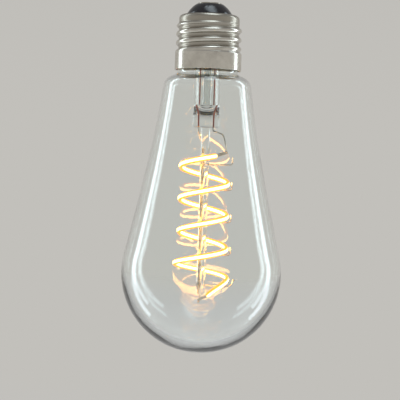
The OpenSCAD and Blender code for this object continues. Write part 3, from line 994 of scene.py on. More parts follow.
class Workshop:
    """Dresses the pieces and tells the frame about them. Each slot's material is made once."""

    def __init__(self) -> None:
        """Starts with no material made."""
        self.made: dict[Slot, Material] = {}

    def dress(self, piece: Piece, slot: Slot) -> None:
        """Gives a piece its slot's material in place of what it had.

        Args:
            piece: The piece.
            slot: Its material slot.
        """
        if slot not in self.made:
            self.made[slot] = FINISHES[slot].make()
        if not piece.data.materials:
            piece.data.materials.append(self.made[slot])
        for own in piece.material_slots:
            own.link = "OBJECT"
            own.material = self.made[slot]

    def fit(self, shape: Shape, name: str, slot: Slot, node: str, sharp: float = SHARP) -> None:
        """Makes a smooth-shaded piece of a shape in millimetres and puts it in the place of a CAD node.

        Args:
            shape: The shape, which is freed.
            name: Name of the piece.
            slot: Its material slot.
            node: The node that it stands for.
            sharp: Angle in degrees past which an edge stays sharp.
        """
        bmesh.ops.scale(shape, vec=(MM, MM, MM), verts=shape.verts)
        piece = solid(shape, name)
        piece.data.shade_smooth()
        piece.data.set_sharp_from_angle(angle=math.radians(sharp))
        self.dress(piece, slot)
        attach(piece, "root")
        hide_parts(node)
        log.info("%s stands for %s: %d faces", name, node, len(piece.data.polygons))

    def fit_wires(self, routes: Sequence[Sequence[Vector]], radius: float, name: str, slot: Slot, node: str,
                  sizes: Sequence[float] | None = None) -> None:
        """Makes round wires as one piece and puts it in the place of a CAD node.

        Args:
            routes: The points of each wire.
            radius: Radius of the wires.
            name: Name of the piece.
            slot: Its material slot.
            node: The node that it stands for.
            sizes: Thickness at each point, as a share of the wire's.
        """
        shape = sweep(circle(radius), *[carried(route, sizes) for route in routes])
        self.fit(shape, name, slot, node, WIRE_SHARP)

    def keep(self, slot: Slot, *nodes: str) -> None:
        """Dresses CAD nodes that stay as they are.

        Args:
            slot: Their material slot.
            nodes: Their names.
        """
        for name in nodes:
            self.dress(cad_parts[name], slot)
            log.info("%s keeps its solid", name)


def span(node: str) -> tuple[Vector, Vector]:
    """Returns a CAD node's lowest and highest corners in millimetres."""
    low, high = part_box(node)
    return low / MM, high / MM


# The lamp


@dataclass
class GlassEnvelope:
    """The blown globe and neck, one wall that thickens towards the bottom."""

    shop: Workshop
    wall_t: float = 0.8
    bottom_t: float = 3.2
    bottom_h: float = 32.0
    bottom_ease: float = 0.2
    flank_a: float = 13.5
    neck_r: float = 17.6
    neck_a: float = 7.5
    shoulder_h: float = 5.9
    shoulder_start: float = 0.8
    shoulder_stop: float = 0.4
    collar_r: float = COLLAR_R
    collar_z: float = -27.6
    globe_steps: int = 84
    neck_steps: int = 40
    shoulder_steps: int = 32
    around: int = 144

    def outline(self, low: Vector, high: Vector) -> Outline:
        """Returns the outside from the bottom of the globe to the end of the collar.

        Args:
            low: Lowest corner of the node.
            high: Highest corner of the node.

        Returns:
            Points of (radius, height).
        """
        radius = min(high.x, high.y, -low.x, -low.y)
        globe = arc((0, low.z + radius), radius, -90, self.flank_a, self.globe_steps)
        start, stop = globe[-1], (self.neck_r, self.collar_z - self.shoulder_h)
        third = (stop[1] - start[1]) / 3
        lean, taper = math.tan(math.radians(self.flank_a)), math.tan(math.radians(self.neck_a))
        neck = bezier([start, (start[0] - lean * third, start[1] + third),
                       (stop[0] + taper * third, stop[1] - third), stop], self.neck_steps)
        rise = self.shoulder_start * self.shoulder_h
        shoulder = bezier([stop, (stop[0] - taper * rise, stop[1] + rise),
                           (self.collar_r, self.collar_z - self.shoulder_stop * self.shoulder_h),
                           (self.collar_r, self.collar_z)], self.shoulder_steps)
        return [(0.0, low.z)] + globe[1:] + neck + shoulder + [(self.collar_r, high.z)]

    def wall(self, above: float) -> float:
        """Returns the thickness of the wall, which grows evenly towards the bottom but starts softly.

        Args:
            above: Height above the bottom.

        Returns:
            The thickness there.
        """
        share = 1 - above / self.bottom_h
        if abs(share) < self.bottom_ease:
            share = (share + self.bottom_ease) ** 2 / (4 * self.bottom_ease)
        return mix(self.wall_t, self.bottom_t, clamp(share))

    def inside(self, outline: Outline) -> Outline:
        """Moves the outside in by the wall.

        Args:
            outline: The outside.

        Returns:
            The inside, from the bottom up.
        """
        flat = [Vector((r, 0, z)) for r, z in outline]
        moved = []
        for point, aim in zip(flat, headings(flat)):
            wall = self.wall(point.z - flat[0].z)
            moved.append((point.x - wall * aim.z, point.z + wall * aim.x))
        moved[0] = (0.0, outline[0][1] + self.bottom_t)
        moved[-1] = (self.collar_r - self.wall_t, outline[-1][1])
        return moved

    def build(self) -> None:
        """Builds the envelope."""
        outline = self.outline(*span("glass_envelope"))
        shape = lathe(outline + self.inside(outline)[::-1], self.around)
        self.shop.fit(shape, "glass_bulb", Slot.CLEAR_GLASS, "glass_envelope")


class End(Enum):
    """The two ends of the filament."""

    UPPER = "top"
    LOWER = "bottom"


class Coat(Enum):
    """The two coats of the filament strip."""

    FRONT = "front"
    BACK = "back"


@dataclass
class Coil:
    """The helix of the filament, as a point for each angle that it has turned."""

    radius: float = 9.4
    turns: float = 3.98
    pitch: float = 13.0
    top: float = 61.3
    start_a: float = -62.0
    # How much the coil widens, and how far before its end that starts and over how much, in degrees
    flare: float = 1.2
    flare_from: float = 470.0
    flare_over: float = 200.0
    end_r: float = 4.6
    tail_a: float = 75.0
    tail_drop: float = 4.9
    upper_lean: Triple = (0, 0, 0.12)
    lower_lean: Triple = (0, 0.35, 0.2)
    coarse: int = 120

    @property
    def whole(self) -> float:
        """Returns the angle of all turns in degrees."""
        return 360 * self.turns

    def point(self, turned: float) -> Vector:
        """Returns a point of the strand's middle.

        Args:
            turned: How far the coil has turned, in degrees.

        Returns:
            The point. The coil widens towards its lower end, and its tail runs in and down.
        """
        tail = clamp((turned - self.whole + self.tail_a) / self.tail_a)
        wide = self.radius + self.flare * ease((turned - self.whole + self.flare_from) / self.flare_over)
        fall = self.pitch * turned / 360 + self.tail_drop * tail * tail
        return polar(mix(wide, self.end_r, tail * tail), self.start_a - turned, -self.top - fall)

    def crossing(self, turn: int) -> Vector:
        """Returns where a turn, from 2 on, crosses the side that the hooks are on."""
        return self.point(360 * turn - 360 + self.start_a)

    def stations(self, steps: int, taper: Sequence[float]) -> list[Station]:
        """Returns the places of the strand's section.

        Args:
            steps: Number of equal steps.
            taper: Sizes of the first places, and in reverse of the last ones.

        Returns:
            One station more than the steps.
        """
        route = [self.point(self.whole * i / steps) for i in range(steps + 1)]
        sizes = [1.0] * len(route)
        for i, size in enumerate(taper):
            sizes[i] = sizes[-1 - i] = size
        return [Station(place, aim, self.outward(place, aim), size)
                for place, aim, size in zip(route, headings(route), sizes)]

    @staticmethod
    def outward(place: Vector, aim: Vector) -> Vector:
        """Returns the direction away from the lamp's axis, square to the strand."""
        away = Vector((place.x, place.y, 0)).normalized()
        return (away - aim * away.dot(aim)).normalized()

    def end(self, end: End) -> tuple[Vector, Vector, Vector]:
        """Returns how an end of the strand lies.

        Args:
            end: Which end.

        Returns:
            Its place, the heading of its tab and its outward direction.
        """
        upper = end is End.UPPER
        step = self.whole / self.coarse
        place = self.point(0 if upper else self.whole)
        inner = self.point(step if upper else self.whole - step)
        aim = (place - inner).normalized()
        lean = Vector(self.upper_lean if upper else self.lower_lean)
        return place, (aim + lean).normalized(), self.outward(place, aim)


@dataclass
class Filament:
    """The flexible filament: a strip of chips between two coats, coiled, with a tab at each end."""

    shop: Workshop
    coil: Coil
    width: float = 2.2
    coat_out: float = 0.75
    coat_in: float = 0.6
    coat_steps: int = 12
    strip_t: float = 0.2
    strip_edge: float = 0.15
    slot_w: float = 0.9
    slot_h: float = 0.35
    taper: tuple[float, ...] = (0.72, 0.9, 0.97)
    steps: int = 900
    sharp: float = 60.0
    tab_l: float = 5.0
    tab_w: float = 1.3
    tab_t: float = 0.25
    tab_gap: float = 0.08
    tab_round: float = 0.09
    round_steps: int = 4
    # Distance from a tab's end, and the tab's size there
    tab_ends: tuple[Pair, ...] = ((0, 0.8), (0.03, 0.93), (0.1, 1))

    def section(self, coat: Coat) -> Outline:
        """Returns the section of a coat, whose edges meet the other coat's round the strip.

        Args:
            coat: Which coat. Only the front one has a slot for the chips.

        Returns:
            The corners as (out, across).
        """
        front = coat is Coat.FRONT
        depth = self.coat_out if front else self.coat_in
        half, strip = self.width / 2, self.strip_t / 2
        start, inner = strip + self.strip_edge, half - self.strip_edge
        skin = [(start + (depth - self.strip_edge) * x, half * y)
                for x, y in arc((0, 0), 1, -90, 90, self.coat_steps)]
        hollow = [(0, half), (0, inner), (strip, inner)]
        if front:
            deep, side = strip + self.slot_h, self.slot_w / 2
            hollow += [(strip, side), (deep, side), (deep, -side), (strip, -side)]
        hollow += [(strip, -inner), (0, -inner), (0, -half)]
        sign = 1 if front else -1
        return [(sign * x, sign * y) for x, y in skin + hollow]

    def tab(self, end: End) -> tuple[Vector, Vector]:
        """Returns the far end of a tab and its heading."""
        place, aim, _ = self.coil.end(end)
        return place + aim * self.tab_l, aim

    def build_tab(self, end: End) -> None:
        """Builds a stamped tab with rolled edges.

        Args:
            end: The end of the filament that it is on.
        """
        place, aim, away = self.coil.end(end)
        out = (away - aim * away.dot(aim)).normalized()
        half_t, half_w = self.tab_t / 2 - self.tab_round, self.tab_w / 2 - self.tab_round
        section = []
        for quarter, (x, y) in enumerate(((1, 1), (-1, 1), (-1, -1), (1, -1))):
            section += arc((x * half_t, y * half_w), self.tab_round, 90 * quarter, 90 * quarter + 90,
                           self.round_steps)
        steps = [*self.tab_ends, (self.tab_l / 2, 1)]
        steps += [(self.tab_l - reach, size) for reach, size in reversed(self.tab_ends)]
        shape = sweep(section, [Station(place + aim * (self.tab_gap + reach), aim, out, size)
                                for reach, size in steps])
        self.shop.fit(shape, f"{end.name.lower()}_end_tab", Slot.WIRE, f"filament_tab_{end.value}")

    def build(self) -> None:
        """Builds the coats and tabs, and dresses what lies in the coats."""
        stations = self.coil.stations(self.steps, self.taper)
        for coat in Coat:
            self.shop.fit(sweep(self.section(coat), stations), f"filament_{coat.value}", Slot.SILICONE,
                          f"filament_coat_{coat.value}", self.sharp)
        for end in End:
            self.build_tab(end)
        self.shop.keep(Slot.STRIP, "filament_strip")
        self.shop.keep(Slot.CHIPS, "filament_chips")


@dataclass
class Stem:
    """The glass stem: flared tube, exhaust tube, press and pillar."""

    shop: Workshop
    coil: Coil
    collar_r: float = COLLAR_R
    stem_r: float = 5.1
    stem_t: float = 0.9
    flare_rim: float = 2.4
    flare_steps: int = 32
    bore: float = 1.0
    tip_steps: int = 20
    # Last angles of the melted tip, outside and inside, just short of the axis
    tip_a: Pair = (89.9, 89.0)
    tube_around: int = 64
    press_w: float = 10.5
    press_t: float = 4.6
    press_round: float = 0.5
    press_tuck: float = 0.8
    press_corners: int = 64
    press_steps: int = 40
    shoulder_h: float = 5.4
    # Powers of the section's curve: a circle at the top and round-ended below
    powers: Pair = (2.0, 3.4)
    jaw: float = 0.05
    jaw_waves: float = 11.0
    foot_round: float = 0.9
    foot_steps: int = 12
    bead: float = 0.16
    bead_h: float = 0.9
    pillar_steps: int = 280
    pillar_around: int = 48
    hook_r: float = HOOK_R
    hook_drop: float = 2.65
    hooks: int = HOOKS

    def build_tube(self) -> None:
        """Builds the tube that flares out to the collar."""
        low, high = span("stem_tube")
        flat = self.collar_r - self.flare_rim
        seal = high.z - self.stem_t
        bend = flat - self.stem_r
        centre = (flat, seal - bend)
        outline = [(self.stem_r, low.z)] + arc(centre, bend, 180, 90, self.flare_steps)
        outline += [(self.collar_r, seal), (self.collar_r, high.z)]
        outline += arc(centre, bend + self.stem_t, 90, 180, self.flare_steps)
        outline += [(self.stem_r - self.stem_t, low.z)]
        self.shop.fit(lathe(outline), "flared_stem", Slot.CLEAR_GLASS, "stem_tube")

    def build_exhaust(self) -> None:
        """Builds the exhaust tube with its melted tip."""
        low, high = span("exhaust_tube")
        radius = high.x
        centre = (0, high.z - radius)
        outer, inner = self.tip_a
        outline = [(self.bore, low.z), (radius, low.z)] + arc(centre, radius, 0, outer, self.tip_steps)
        outline += [(0.0, high.z), (0.0, centre[1] + self.bore)]
        outline += arc(centre, self.bore, inner, 0, self.tip_steps)
        shape = lathe(outline, self.tube_around)
        self.shop.fit(shape, "melted_off_tube", Slot.CLEAR_GLASS, "exhaust_tube")

    def press_place(self, turn: float, down: float, low: Vector, high: Vector) -> Vector:
        """Returns a point of the press.

        Args:
            turn: Angle round the press in radians.
            down: Share of the way from the top to the bottom.
            low: Lowest corner of the node.
            high: Highest corner of the node.

        Returns:
            The point. The section goes from the tube's circle to a flat one with round ends.
        """
        height = mix(high.z, low.z, down)
        flat = ease_out((high.z - self.press_round - height) / self.shoulder_h)
        edge = clamp((height - low.z) / self.press_round)
        tuck = self.press_round * (1 - math.sqrt(1 - (1 - edge) ** 2)) * self.press_tuck
        wide = mix(self.stem_r, self.press_w / 2, flat) - tuck
        thick = mix(self.stem_r, self.press_t / 2, flat) - tuck
        power = 2 / mix(*self.powers, flat)
        cos, sin = math.cos(turn), math.sin(turn)
        jaw = self.jaw * flat * math.sin(self.jaw_waves * down) * (1 - edge + edge * clamp(abs(sin)))
        return Vector((math.copysign(wide * abs(cos) ** power, cos),
                       math.copysign((thick + jaw) * abs(sin) ** power, sin), height))

    def build_press(self) -> None:
        """Builds the pinched end of the stem, solid round the wires."""
        low, high = span("stem_press")
        levels = [i / self.press_steps for i in range(self.press_steps + 1)]
        shape = loft(self.press_corners, levels, lambda turn, down: self.press_place(turn, down, low, high))
        self.shop.fit(shape, "pinched_press", Slot.CLEAR_GLASS, "stem_press")

    def hook_levels(self) -> list[float]:
        """Returns the height of each hook's arm, from the top one down."""
        first = span("support_hook_1")[0].z + self.hook_r
        return [first] + [self.coil.crossing(i).z - self.hook_drop for i in range(2, self.hooks + 1)]

    def build_pillar(self) -> None:
        """Builds the glass rod, slightly swollen where each hook is melted in."""
        low, high = span("pillar_rod")
        radius = high.x
        arms = self.hook_levels()
        start = low.z + self.foot_round
        outline = [(0.0, high.z), (0.0, low.z)]
        outline += arc((radius - self.foot_round, start), self.foot_round, -90, 0, self.foot_steps)
        for i in range(1, self.pillar_steps + 1):
            height = mix(start, high.z, i / self.pillar_steps)
            swell = sum(math.exp(-((height - arm) / self.bead_h) ** 2) for arm in arms)
            outline.append((radius + self.bead * swell, height))
        self.shop.fit(lathe(outline, self.pillar_around), "glass_pillar", Slot.CLEAR_GLASS, "pillar_rod")

    def build(self) -> None:
        """Builds the stem from the flare down."""
        self.build_tube()
        self.build_exhaust()
        self.build_press()
        self.build_pillar()


@dataclass
class Wiring:
    """The lead wires and the hooks that carry the filament."""

    shop: Workshop
    coil: Coil
    filament: Filament
    lead_x: float = 2.9
    lead_r: float = LEAD_R
    touch: float = 0.05
    # The short lead's bends from where it leaves the press, and the last one from its end
    short_bends: tuple[Triple, ...] = ((0, 0, -1.4), (4, -3.2, -2.8))
    short_last: Triple = (-0.4, 0, 3)
    lap: float = 0.6
    lap_up: float = 0.2
    # The long lead's bends: how far each is below the press or the pillar's foot, and its angle
    long_drop: float = 2.0
    cross_drop: float = 5.0
    cross_a: float = 135.0
    side_drop: float = 8.0
    side_a: float = 97.0
    foot_drop: float = 1.8
    press_top: float = -41.0
    # Place of the hole in the board on one side. The other hole is its mirror image
    hole: Pair = (8.3, 0.6)
    board_drop: float = 1.5
    seal_steps: int = 12
    hook_r: float = HOOK_R
    hooks: int = HOOKS
    # How deep a hook is melted in, and how far the last one goes on past the filament
    root: float = 1.0
    clear: float = 0.1
    last_reach: float = 0.9
    ball_r: float = 0.55
    ball_a: float = 172.0
    ball_steps: int = 16

    def build_leads(self) -> None:
        """Builds the short lead to the upper tab and the long one to the lower tab."""
        press = span("seal_wires")[0].z
        half_tab = self.filament.tab_w / 2
        start = Vector((self.lead_x, 0, press))
        far, aim = self.filament.tab(End.UPPER)
        end = far - aim * self.lap + Vector((0, 0, half_tab + self.lap_up))
        route = [start, *[start + Vector(bend) for bend in self.short_bends],
                 end + Vector(self.short_last), end]
        self.shop.fit_wires([rounded(route)], self.lead_r, "short_lead", Slot.WIRE, "upper_lead")
        foot, pillar = span("pillar_rod")
        reach = pillar.x + self.lead_r + self.touch
        side = polar(reach, self.side_a, press - self.side_drop)
        end = self.filament.tab(End.LOWER)[0] - Vector((0, 0, half_tab + self.lead_r + self.touch))
        route = [Vector((-self.lead_x, 0, press)), Vector((-self.lead_x, 0, press - self.long_drop)),
                 polar(reach + 2 * self.lead_r, self.cross_a, press - self.cross_drop), side,
                 Vector((side.x, side.y, foot.z - self.foot_drop)), end]
        self.shop.fit_wires([rounded(route)], self.lead_r, "long_lead", Slot.WIRE, "return_lead")

    def build_outer_leads(self) -> None:
        """Builds the two wires that run from the press up to the board."""
        high = span("outer_leads")[1].z
        flare = span("stem_tube")[1].z
        board = span("driver_board")[0].z
        routes = []
        for sign in (-1, 1):
            x, hole = sign * self.lead_x, (sign * self.hole[0], self.hole[1])
            routes.append(rounded([
                Vector((x, 0, self.press_top)), Vector((x, 0, flare - self.board_drop)),
                Vector((*hole, board - self.board_drop)), Vector((*hole, high))]))
        self.shop.fit_wires(routes, self.lead_r, "board_leads", Slot.SEAL_WIRE, "outer_leads")

    def build_seal_wires(self) -> None:
        """Builds the two wires that the press is melted round."""
        low, high = span("seal_wires")
        heights = [mix(low.z, high.z, i / self.seal_steps) for i in range(self.seal_steps + 1)]
        routes = [[Vector((x, 0, z)) for z in heights] for x in (-self.lead_x, self.lead_x)]
        self.shop.fit_wires(routes, self.lead_r, "melted_in_wires", Slot.SEAL_WIRE, "seal_wires")

    def build_hook(self, number: int) -> None:
        """Builds a hook, from its root in the pillar to its turned-up end.

        Args:
            number: Which hook, from 1 at the top. The last one reaches past the filament.
        """
        node = f"support_hook_{number}"
        low, high = span(node)
        level = low.z + self.hook_r
        last = number == self.hooks
        if last:
            corner = self.coil.crossing(number).xy.length
            corner += self.clear + self.filament.coat_out + self.last_reach
            end = Vector((high.x - self.ball_r, 0, high.z - self.ball_r))
        else:
            corner = high.x - self.hook_r
            end = Vector((corner, 0, high.z))
        route = rounded([Vector((low.x - self.root, 0, level)), Vector((corner, 0, level)), end])
        route, sizes = self.with_ball(route) if last else (route, None)
        self.shop.fit_wires([route], self.hook_r, f"hook_{number}", Slot.WIRE, node, sizes)

    def with_ball(self, route: list[Vector]) -> tuple[list[Vector], list[float]]:
        """Puts a melted ball at the end of a hook.

        Args:
            route: The points of the hook.

        Returns:
            The route with the ball's points, and the size at each point.
        """
        aim = (route[-1] - route[-2]).normalized()
        first = math.degrees(math.asin(self.hook_r / self.ball_r))
        turns = [math.radians(mix(first, self.ball_a, k / self.ball_steps))
                 for k in range(self.ball_steps + 1)]
        ball = [route[-1] - aim * self.ball_r * math.cos(a) for a in turns]
        swell = [self.ball_r * math.sin(a) / self.hook_r for a in turns]
        return route[:-1] + ball, [1.0] * (len(route) - 1) + swell

    def build(self) -> None:
        """Builds all wires."""
        self.build_leads()
        self.build_outer_leads()
        self.build_seal_wires()
        for number in range(1, self.hooks + 1):
            self.build_hook(number)


@dataclass
class Cap:
    """The screw cap: plated shell, black glass insulator, tip contact, its solder and the cement."""

    shop: Workshop
    thread_d: float = 26.3
    root_d: float = 24.1
    pitch: float = 3.629
    run_in: float = 0.45
    seam: float = 0.06
    shell_t: float = 0.44
    skirt_r: float = 13.35
    skirt_l: float = 6.6
    rim_edge: float = 0.12
    tip_h: float = 4.9
    top_round: float = 1.6
    top_run: float = 1.4
    top_steps: int = 20
    seat_steps: int = 14
    rows: int = 110
    around: int = 160
    lip_r: float = 9.2
    shoulder_r: float = 5.4
    insulator_h: float = 1.7
    # Handles of the insulator's slope, from its shoulder and from the shell's lip, and its lower end
    slope_top: Pair = (1.6, -0.9)
    slope_foot: Pair = (-0.7, 1.6)
    slope_end: float = 0.2
    slope_steps: int = 28
    hole_gap: float = 0.02
    tip_t: float = 0.5
    tip_r: float = 4.75
    tip_round: float = 0.2
    tip_break: float = 0.08
    round_steps: int = 6
    shank_r: float = 1.5
    shank_l: float = 2.5
    bore: float = 1.1
    dimple_r: float = 2.2
    dimple_h: float = 0.7
    # How the dimple's edge turns down: corners from its radius and the contact's face
    dimple_edge: tuple[Pair, ...] = ((0.12, 0), (-0.05, -0.06))
    fill: float = 0.91
    dome_z: float = -0.015
    dome_steps: int = 14
    drop_around: int = 64
    # Depth and fineness of the waves in the solder's skin and in the cement's face
    solder_waves: tuple[Pair, ...] = ((0.035, 2.1), (0.02, 5))
    cement_waves: tuple[Pair, ...] = ((0.35, 0.9), (0.12, 3))
    cement_r: float = COLLAR_R
    cement_steps: int = 5

    @property
    def top_r(self) -> float:
        """Returns the radius of the shell's plain top."""
        return self.root_d / 2 + self.seam

    @property
    def thread_top(self) -> float:
        """Returns the height at which the thread begins."""
        return -self.tip_h - self.top_round - self.top_run

    def thread_r(self, turn: float) -> float:
        """Returns the radius of the knuckle thread.

        Args:
            turn: Share of the way between two crests.

        Returns:
            The radius, which follows one arc at the crest and one at the root.
        """
        half = self.pitch / 2
        depth = (self.thread_d - self.root_d) / 2
        knuckle = (half * half + depth * depth) / (4 * depth)
        x = self.pitch * min(turn, 1 - turn)
        if x < half / 2:
            return self.thread_d / 2 - knuckle + math.sqrt(knuckle * knuckle - x * x)
        rest = half - x
        return self.thread_d / 2 - depth + knuckle - math.sqrt(knuckle * knuckle - rest * rest)

    def wall_r(self, angle: float, height: float, skirt_top: float) -> float:
        """Returns the radius of the threaded wall at a place.

        Args:
            angle: Angle in degrees.
            height: Height in millimetres.
            skirt_top: Height of the skirt's top.

        Returns:
            The radius, which runs in from the plain top and out to the skirt.
        """
        turn = height / self.pitch - angle / 360
        run = self.pitch * self.run_in
        from_top = ease((self.thread_top - height) / run)
        from_skirt = ease((height - skirt_top) / run)
        inner = mix(self.top_r, self.thread_r(turn - math.floor(turn)), from_top)
        return mix(self.skirt_r, inner, from_skirt)

    def top(self, depth: float, steps: int) -> Outline:
        """Returns the rounded top of the shell.

        Args:
            depth: How far under its outer face.
            steps: Steps in its round edge.

        Returns:
            The points, from the edge of its opening out.
        """
        centre = (self.top_r - self.top_round, -self.tip_h - self.top_round)
        return [(self.lip_r, -self.tip_h - depth)] + arc(centre, self.top_round - depth, 90, 0, steps)

    def build_shell(self) -> None:
        """Builds the shell of one sheet: rounded top, rolled thread, and a skirt whose rim is eased."""
        bottom = span("screw_shell")[0].z
        skirt_top = bottom + self.skirt_l
        top_in, skirt_in = self.top_r - self.shell_t, self.skirt_r - self.shell_t
        heights = [mix(self.thread_top, skirt_top, i / self.rows) for i in range(self.rows)]
        outline = self.top(0, self.top_steps) + [(self.top_r, z) for z in heights]
        outline += [(self.skirt_r, skirt_top), (self.skirt_r, mix(skirt_top, bottom, 0.5)),
                    (self.skirt_r, bottom + self.rim_edge), (self.skirt_r - self.rim_edge, bottom),
                    (skirt_in + self.rim_edge, bottom), (skirt_in, bottom + self.rim_edge),
                    (skirt_in, skirt_top)]
        outline += [(top_in, z) for z in reversed(heights)] + self.top(self.shell_t, self.seat_steps)[::-1]
        bm = lathe(outline, self.around)
        for vert in bm.verts:
            if skirt_top + SAME_HEIGHT < vert.co.z < self.thread_top - SAME_HEIGHT:
                angle = math.degrees(math.atan2(vert.co.y, vert.co.x))
                inside = vert.co.xy.length < self.top_r - self.shell_t / 2
                radius = self.wall_r(angle, vert.co.z, skirt_top) - (self.shell_t if inside else 0)
                vert.co.xy = vert.co.xy.normalized() * radius
        self.shop.fit(bm, "threaded_shell", Slot.SHELL, "screw_shell")

    def build_insulator(self) -> None:
        """Builds the black glass between shell and contact."""
        bottom = -self.tip_h - self.insulator_h
        shoulder = (self.shoulder_r, -self.tip_t)
        slope = bezier([shoulder, (shoulder[0] + self.slope_top[0], shoulder[1] + self.slope_top[1]),
                        (self.lip_r + self.slope_foot[0], -self.tip_h + self.slope_foot[1]),
                        (self.lip_r, -self.tip_h + self.slope_end)], self.slope_steps)
        hole = self.shank_r + self.hole_gap
        outline = [(hole, -self.tip_t), shoulder] + slope + self.top(self.shell_t, self.seat_steps)
        outline += [(self.top_r - self.shell_t, bottom), (hole, bottom)]
        self.shop.fit(lathe(outline), "pressed_insulator", Slot.BLACK_GLASS, "cap_insulator")

    def build_contact(self) -> None:
        """Builds the tip contact, pressed from sheet with a round edge and a dimple."""
        shank = -self.tip_t - self.shank_l
        outline = [(self.bore, shank), (self.shank_r, shank), (self.shank_r, -self.tip_t),
                   (self.tip_r - self.tip_break, -self.tip_t), (self.tip_r, -self.tip_t + self.tip_break)]
        outline += arc((self.tip_r - self.tip_round, -self.tip_round), self.tip_round, 0, 90,
                       self.round_steps)
        outline += [(self.dimple_r + out, z) for out, z in self.dimple_edge]
        outline += [(self.bore, -self.dimple_h)]
        self.shop.fit(lathe(outline), "pressed_contact", Slot.SHELL, "tip_contact")

    def build_solder(self) -> None:
        """Builds the drop of solder in the dimple, wrinkled where it froze."""
        low, high = span("tip_solder")
        edge = (mix(self.bore, self.dimple_r, self.fill), mix(-self.dimple_h, 0, self.fill))
        dome = [(edge[0] * math.cos(a), mix(edge[1], self.dome_z, math.sin(a)))
                for a in (math.pi / 2 * i / self.dome_steps for i in range(1, self.dome_steps))]
        outline = [(0.0, low.z), (self.bore, low.z), (self.bore, -self.dimple_h), edge, *dome,
                   (0.0, high.z)]
        bm = lathe(outline, self.drop_around)
        for vert in bm.verts:
            if vert.co.z > edge[1] + SAME_HEIGHT:
                vert.co.z -= wrinkle(vert.co, self.solder_waves)
        self.shop.fit(bm, "solder_drop", Slot.SOLDER, "tip_solder")

    def build_cement(self) -> None:
        """Builds the ring of cement, uneven at its open face between glass and skirt."""
        low, high = span("basing_cement")
        radii = [mix(self.cement_r, self.skirt_r - self.shell_t, i / self.cement_steps)
                 for i in range(self.cement_steps + 1)]
        bm = lathe([(r, low.z) for r in radii] + [(r, high.z) for r in reversed(radii)], self.around)
        for vert in bm.verts:
            if vert.co.z < low.z + SAME_HEIGHT:
                vert.co.z += wrinkle(vert.co, self.cement_waves)
        self.shop.fit(bm, "cement_ring", Slot.CEMENT, "basing_cement")

    def build(self) -> None:
        """Builds the cap from its shell in."""
        self.build_shell()
        self.build_insulator()
        self.build_contact()
        self.build_solder()
        self.build_cement()


@dataclass
class Driver:
    """The small rectifier and current limiter in the cap. Most of its solids keep their shapes."""

    shop: Workshop
    lead_r: float = LEAD_R

    def build_tip_wire(self) -> None:
        """Builds the bare wire that runs from the resistor to the tip contact."""
        low, high = span("tip_wire")
        side = low.y + self.lead_r
        level = sum(corner.z for corner in span("tip_wire_sleeve")) / 2
        route = [Vector((0, side, low.z)), Vector((0, side, level)), Vector((0, 0, level)),
                 Vector((0, 0, high.z))]
        self.shop.fit_wires([rounded(route)], self.lead_r, "bare_tip_wire", Slot.WIRE, "tip_wire")

    def build(self) -> None:
        """Dresses the board, what stands on it, its sleeve and its wires."""
        self.shop.keep(Slot.WHITE_PLASTIC, "driver_sleeve")
        self.shop.keep(Slot.BOARD, "driver_board")
        self.shop.keep(Slot.RESIN, "bridge_rectifier", "driver_chip", "chip_resistors")
        self.shop.keep(Slot.CAN, "smoothing_capacitor")
        self.shop.keep(Slot.RESISTOR, "fusible_resistor")
        self.shop.keep(Slot.SOLDER, "board_solder", "side_solder")
        self.build_tip_wire()
        self.shop.keep(Slot.BRAID, "tip_wire_sleeve")
        self.shop.keep(Slot.INSULATION, "side_wire")


# The studio


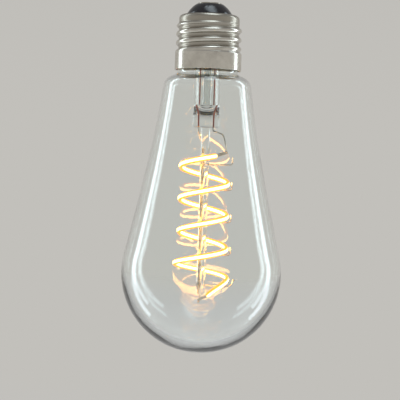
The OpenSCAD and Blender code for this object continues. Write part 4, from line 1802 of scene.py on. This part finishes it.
@dataclass
class Studio:
    """A pale floor, a pale surround, soft boxes and the camera. Its lengths are in metres."""

    floor_z: float = -0.6
    floor_r: float = 7.0
    floor_corners: int = 96
    surround: str = SURROUND
    overhead: str = "#9B9B9A"
    # Where the surround starts to darken and where it is darkest, from 0 at eye level to 1 straight up
    overhead_span: Pair = (0.02, 0.75)
    fill_colour: str = "#F4F5F7"
    fill: float = 0.7
    # Linear red, green and blue of the soft boxes' light
    box_colour: Triple = (0.8, 0.93, 1.0)
    # Distance from a soft box's middle line where its light ends and where it is full, and its light
    box_fade: Pair = (0.5, 0.1)
    box_light: float = 1.6
    strip_size: Pair = (0.16, 1.1)
    strip_watts: float = 1.7
    strip_place: Triple = (0.52, 0.2, -0.04)
    top_size: Pair = (0.7, 0.7)
    top_watts: float = 3.0
    top_place: Triple = (0.1, -0.2, 0.9)
    top_aim: Triple = (0, 0, -0.07)
    # Millimetres of the lamp in a pixel of the photograph, and the photograph's width in pixels
    pixel: float = 0.4007
    pixels: int = 400
    sensor: float = 36.0
    lean: float = 1.9
    eye: Triple = (-0.0014, -0.65, -0.0789)

    def build_floor(self) -> None:
        """Builds the floor."""
        bm = bmesh.new()
        bmesh.ops.create_circle(bm, cap_ends=True, radius=self.floor_r, segments=self.floor_corners)
        bmesh.ops.translate(bm, vec=(0, 0, self.floor_z), verts=bm.verts)
        floor = solid(bm, "studio_floor")
        floor.data.materials.append(PaintedFloor("matt_painted_floor").make())

    def build_surround(self) -> None:
        """Builds the world: what rays see of it is pale and darker overhead, and it lights softly."""
        world = bpy.data.worlds.new("studio_surround")
        tree = emptied(world)
        height = add(tree, "SeparateXYZ", [add(tree, "TexCoord").outputs["Generated"]]).outputs["Z"]
        up = add(tree, "MapRange", [height, *self.overhead_span, 0, 1], interpolation_type=SMOOTH)
        shade = add(tree, "Mix", {0: up, FIRST: self.surround, SECOND: self.overhead}, data_type="RGBA")
        rays = add(tree, "LightPath").outputs
        direct = add(tree, "Math", [rays["Is Camera Ray"], rays["Is Glossy Ray"]], operation="MAXIMUM")
        seen = add(tree, "Math", [direct, rays["Is Transmission Ray"]], operation="MAXIMUM")
        light = add(tree, "Background", [self.fill_colour, self.fill])
        around = add(tree, "Background", [shade.outputs[BLEND], 1.0])
        add(tree, "OutputWorld", [add(tree, "MixShader", [seen, light, around])])
        bpy.context.scene.world = world

    def soften(self, light: bpy.types.Light) -> None:
        """Fades a soft box's light towards its long edges.

        Args:
            light: The soft box's light.
        """
        tree = emptied(light)
        across = add(tree, "SeparateXYZ", [add(tree, "NewGeometry").outputs["Parametric"]]).outputs["X"]
        off = add(tree, "Math", [add(tree, "Math", [across, 0.5], operation="SUBTRACT")],
                  operation="ABSOLUTE")
        level = add(tree, "MapRange", [off, *self.box_fade, 0, self.box_light], interpolation_type=SMOOTH)
        add(tree, "OutputLight", [add(tree, "Emission", {"Strength": level})])

    def add_box(self, name: str, place: Triple, target: Triple, size: Pair, watts: float) -> None:
        """Adds a soft box.

        Args:
            name: Its name.
            place: Where it stands.
            target: What it faces.
            size: Its width and height.
            watts: Its power.
        """
        light = bpy.data.lights.new(name, "AREA")
        light.shape = "RECTANGLE"
        light.size, light.size_y = size
        light.energy = watts
        light.color = self.box_colour
        self.soften(light)
        box = placed(name, light)
        box.location = place
        box.rotation_euler = (Vector(place) - Vector(target)).to_track_quat("Z", "Y").to_euler()

    def build_lights(self) -> None:
        """Adds a tall strip on each side and a soft box overhead."""
        x, y, z = self.strip_place
        for side, name in ((-1, "left_strip"), (1, "right_strip")):
            self.add_box(name, (side * x, y, z), (0, 0, z), self.strip_size, self.strip_watts)
        self.add_box("overhead_box", self.top_place, self.top_aim, self.top_size, self.top_watts)

    def build_camera(self) -> None:
        """Adds the camera at the photograph's angle: level, and leaning a little to the side."""
        data = bpy.data.cameras.new("camera")
        data.sensor_width = self.sensor
        data.lens = self.sensor * abs(self.eye[1]) / (self.pixels * self.pixel * MM)
        camera = placed("camera", data)
        camera.location = self.eye
        lean = Matrix.Rotation(math.radians(self.lean), 3, "Z")
        camera.rotation_euler = (Matrix.Rotation(math.pi / 2, 3, "X") @ lean).to_euler()
        bpy.context.scene.camera = camera

    def build(self) -> None:
        """Builds the studio and sets the view transform."""
        self.build_camera()
        self.build_surround()
        self.build_lights()
        self.build_floor()
        bpy.context.scene.view_settings.view_transform = "Standard"


def main() -> None:
    """Builds the studio and the lamp, piece by piece."""
    logging.basicConfig(level=logging.INFO, format="%(name)s: %(message)s")
    Studio().build()
    shop = Workshop()
    coil = Coil()
    filament = Filament(shop, coil)
    GlassEnvelope(shop).build()
    Stem(shop, coil).build()
    filament.build()
    Wiring(shop, coil, filament).build()
    Cap(shop).build()
    Driver(shop).build()


if __name__ == "__main__":
    main()
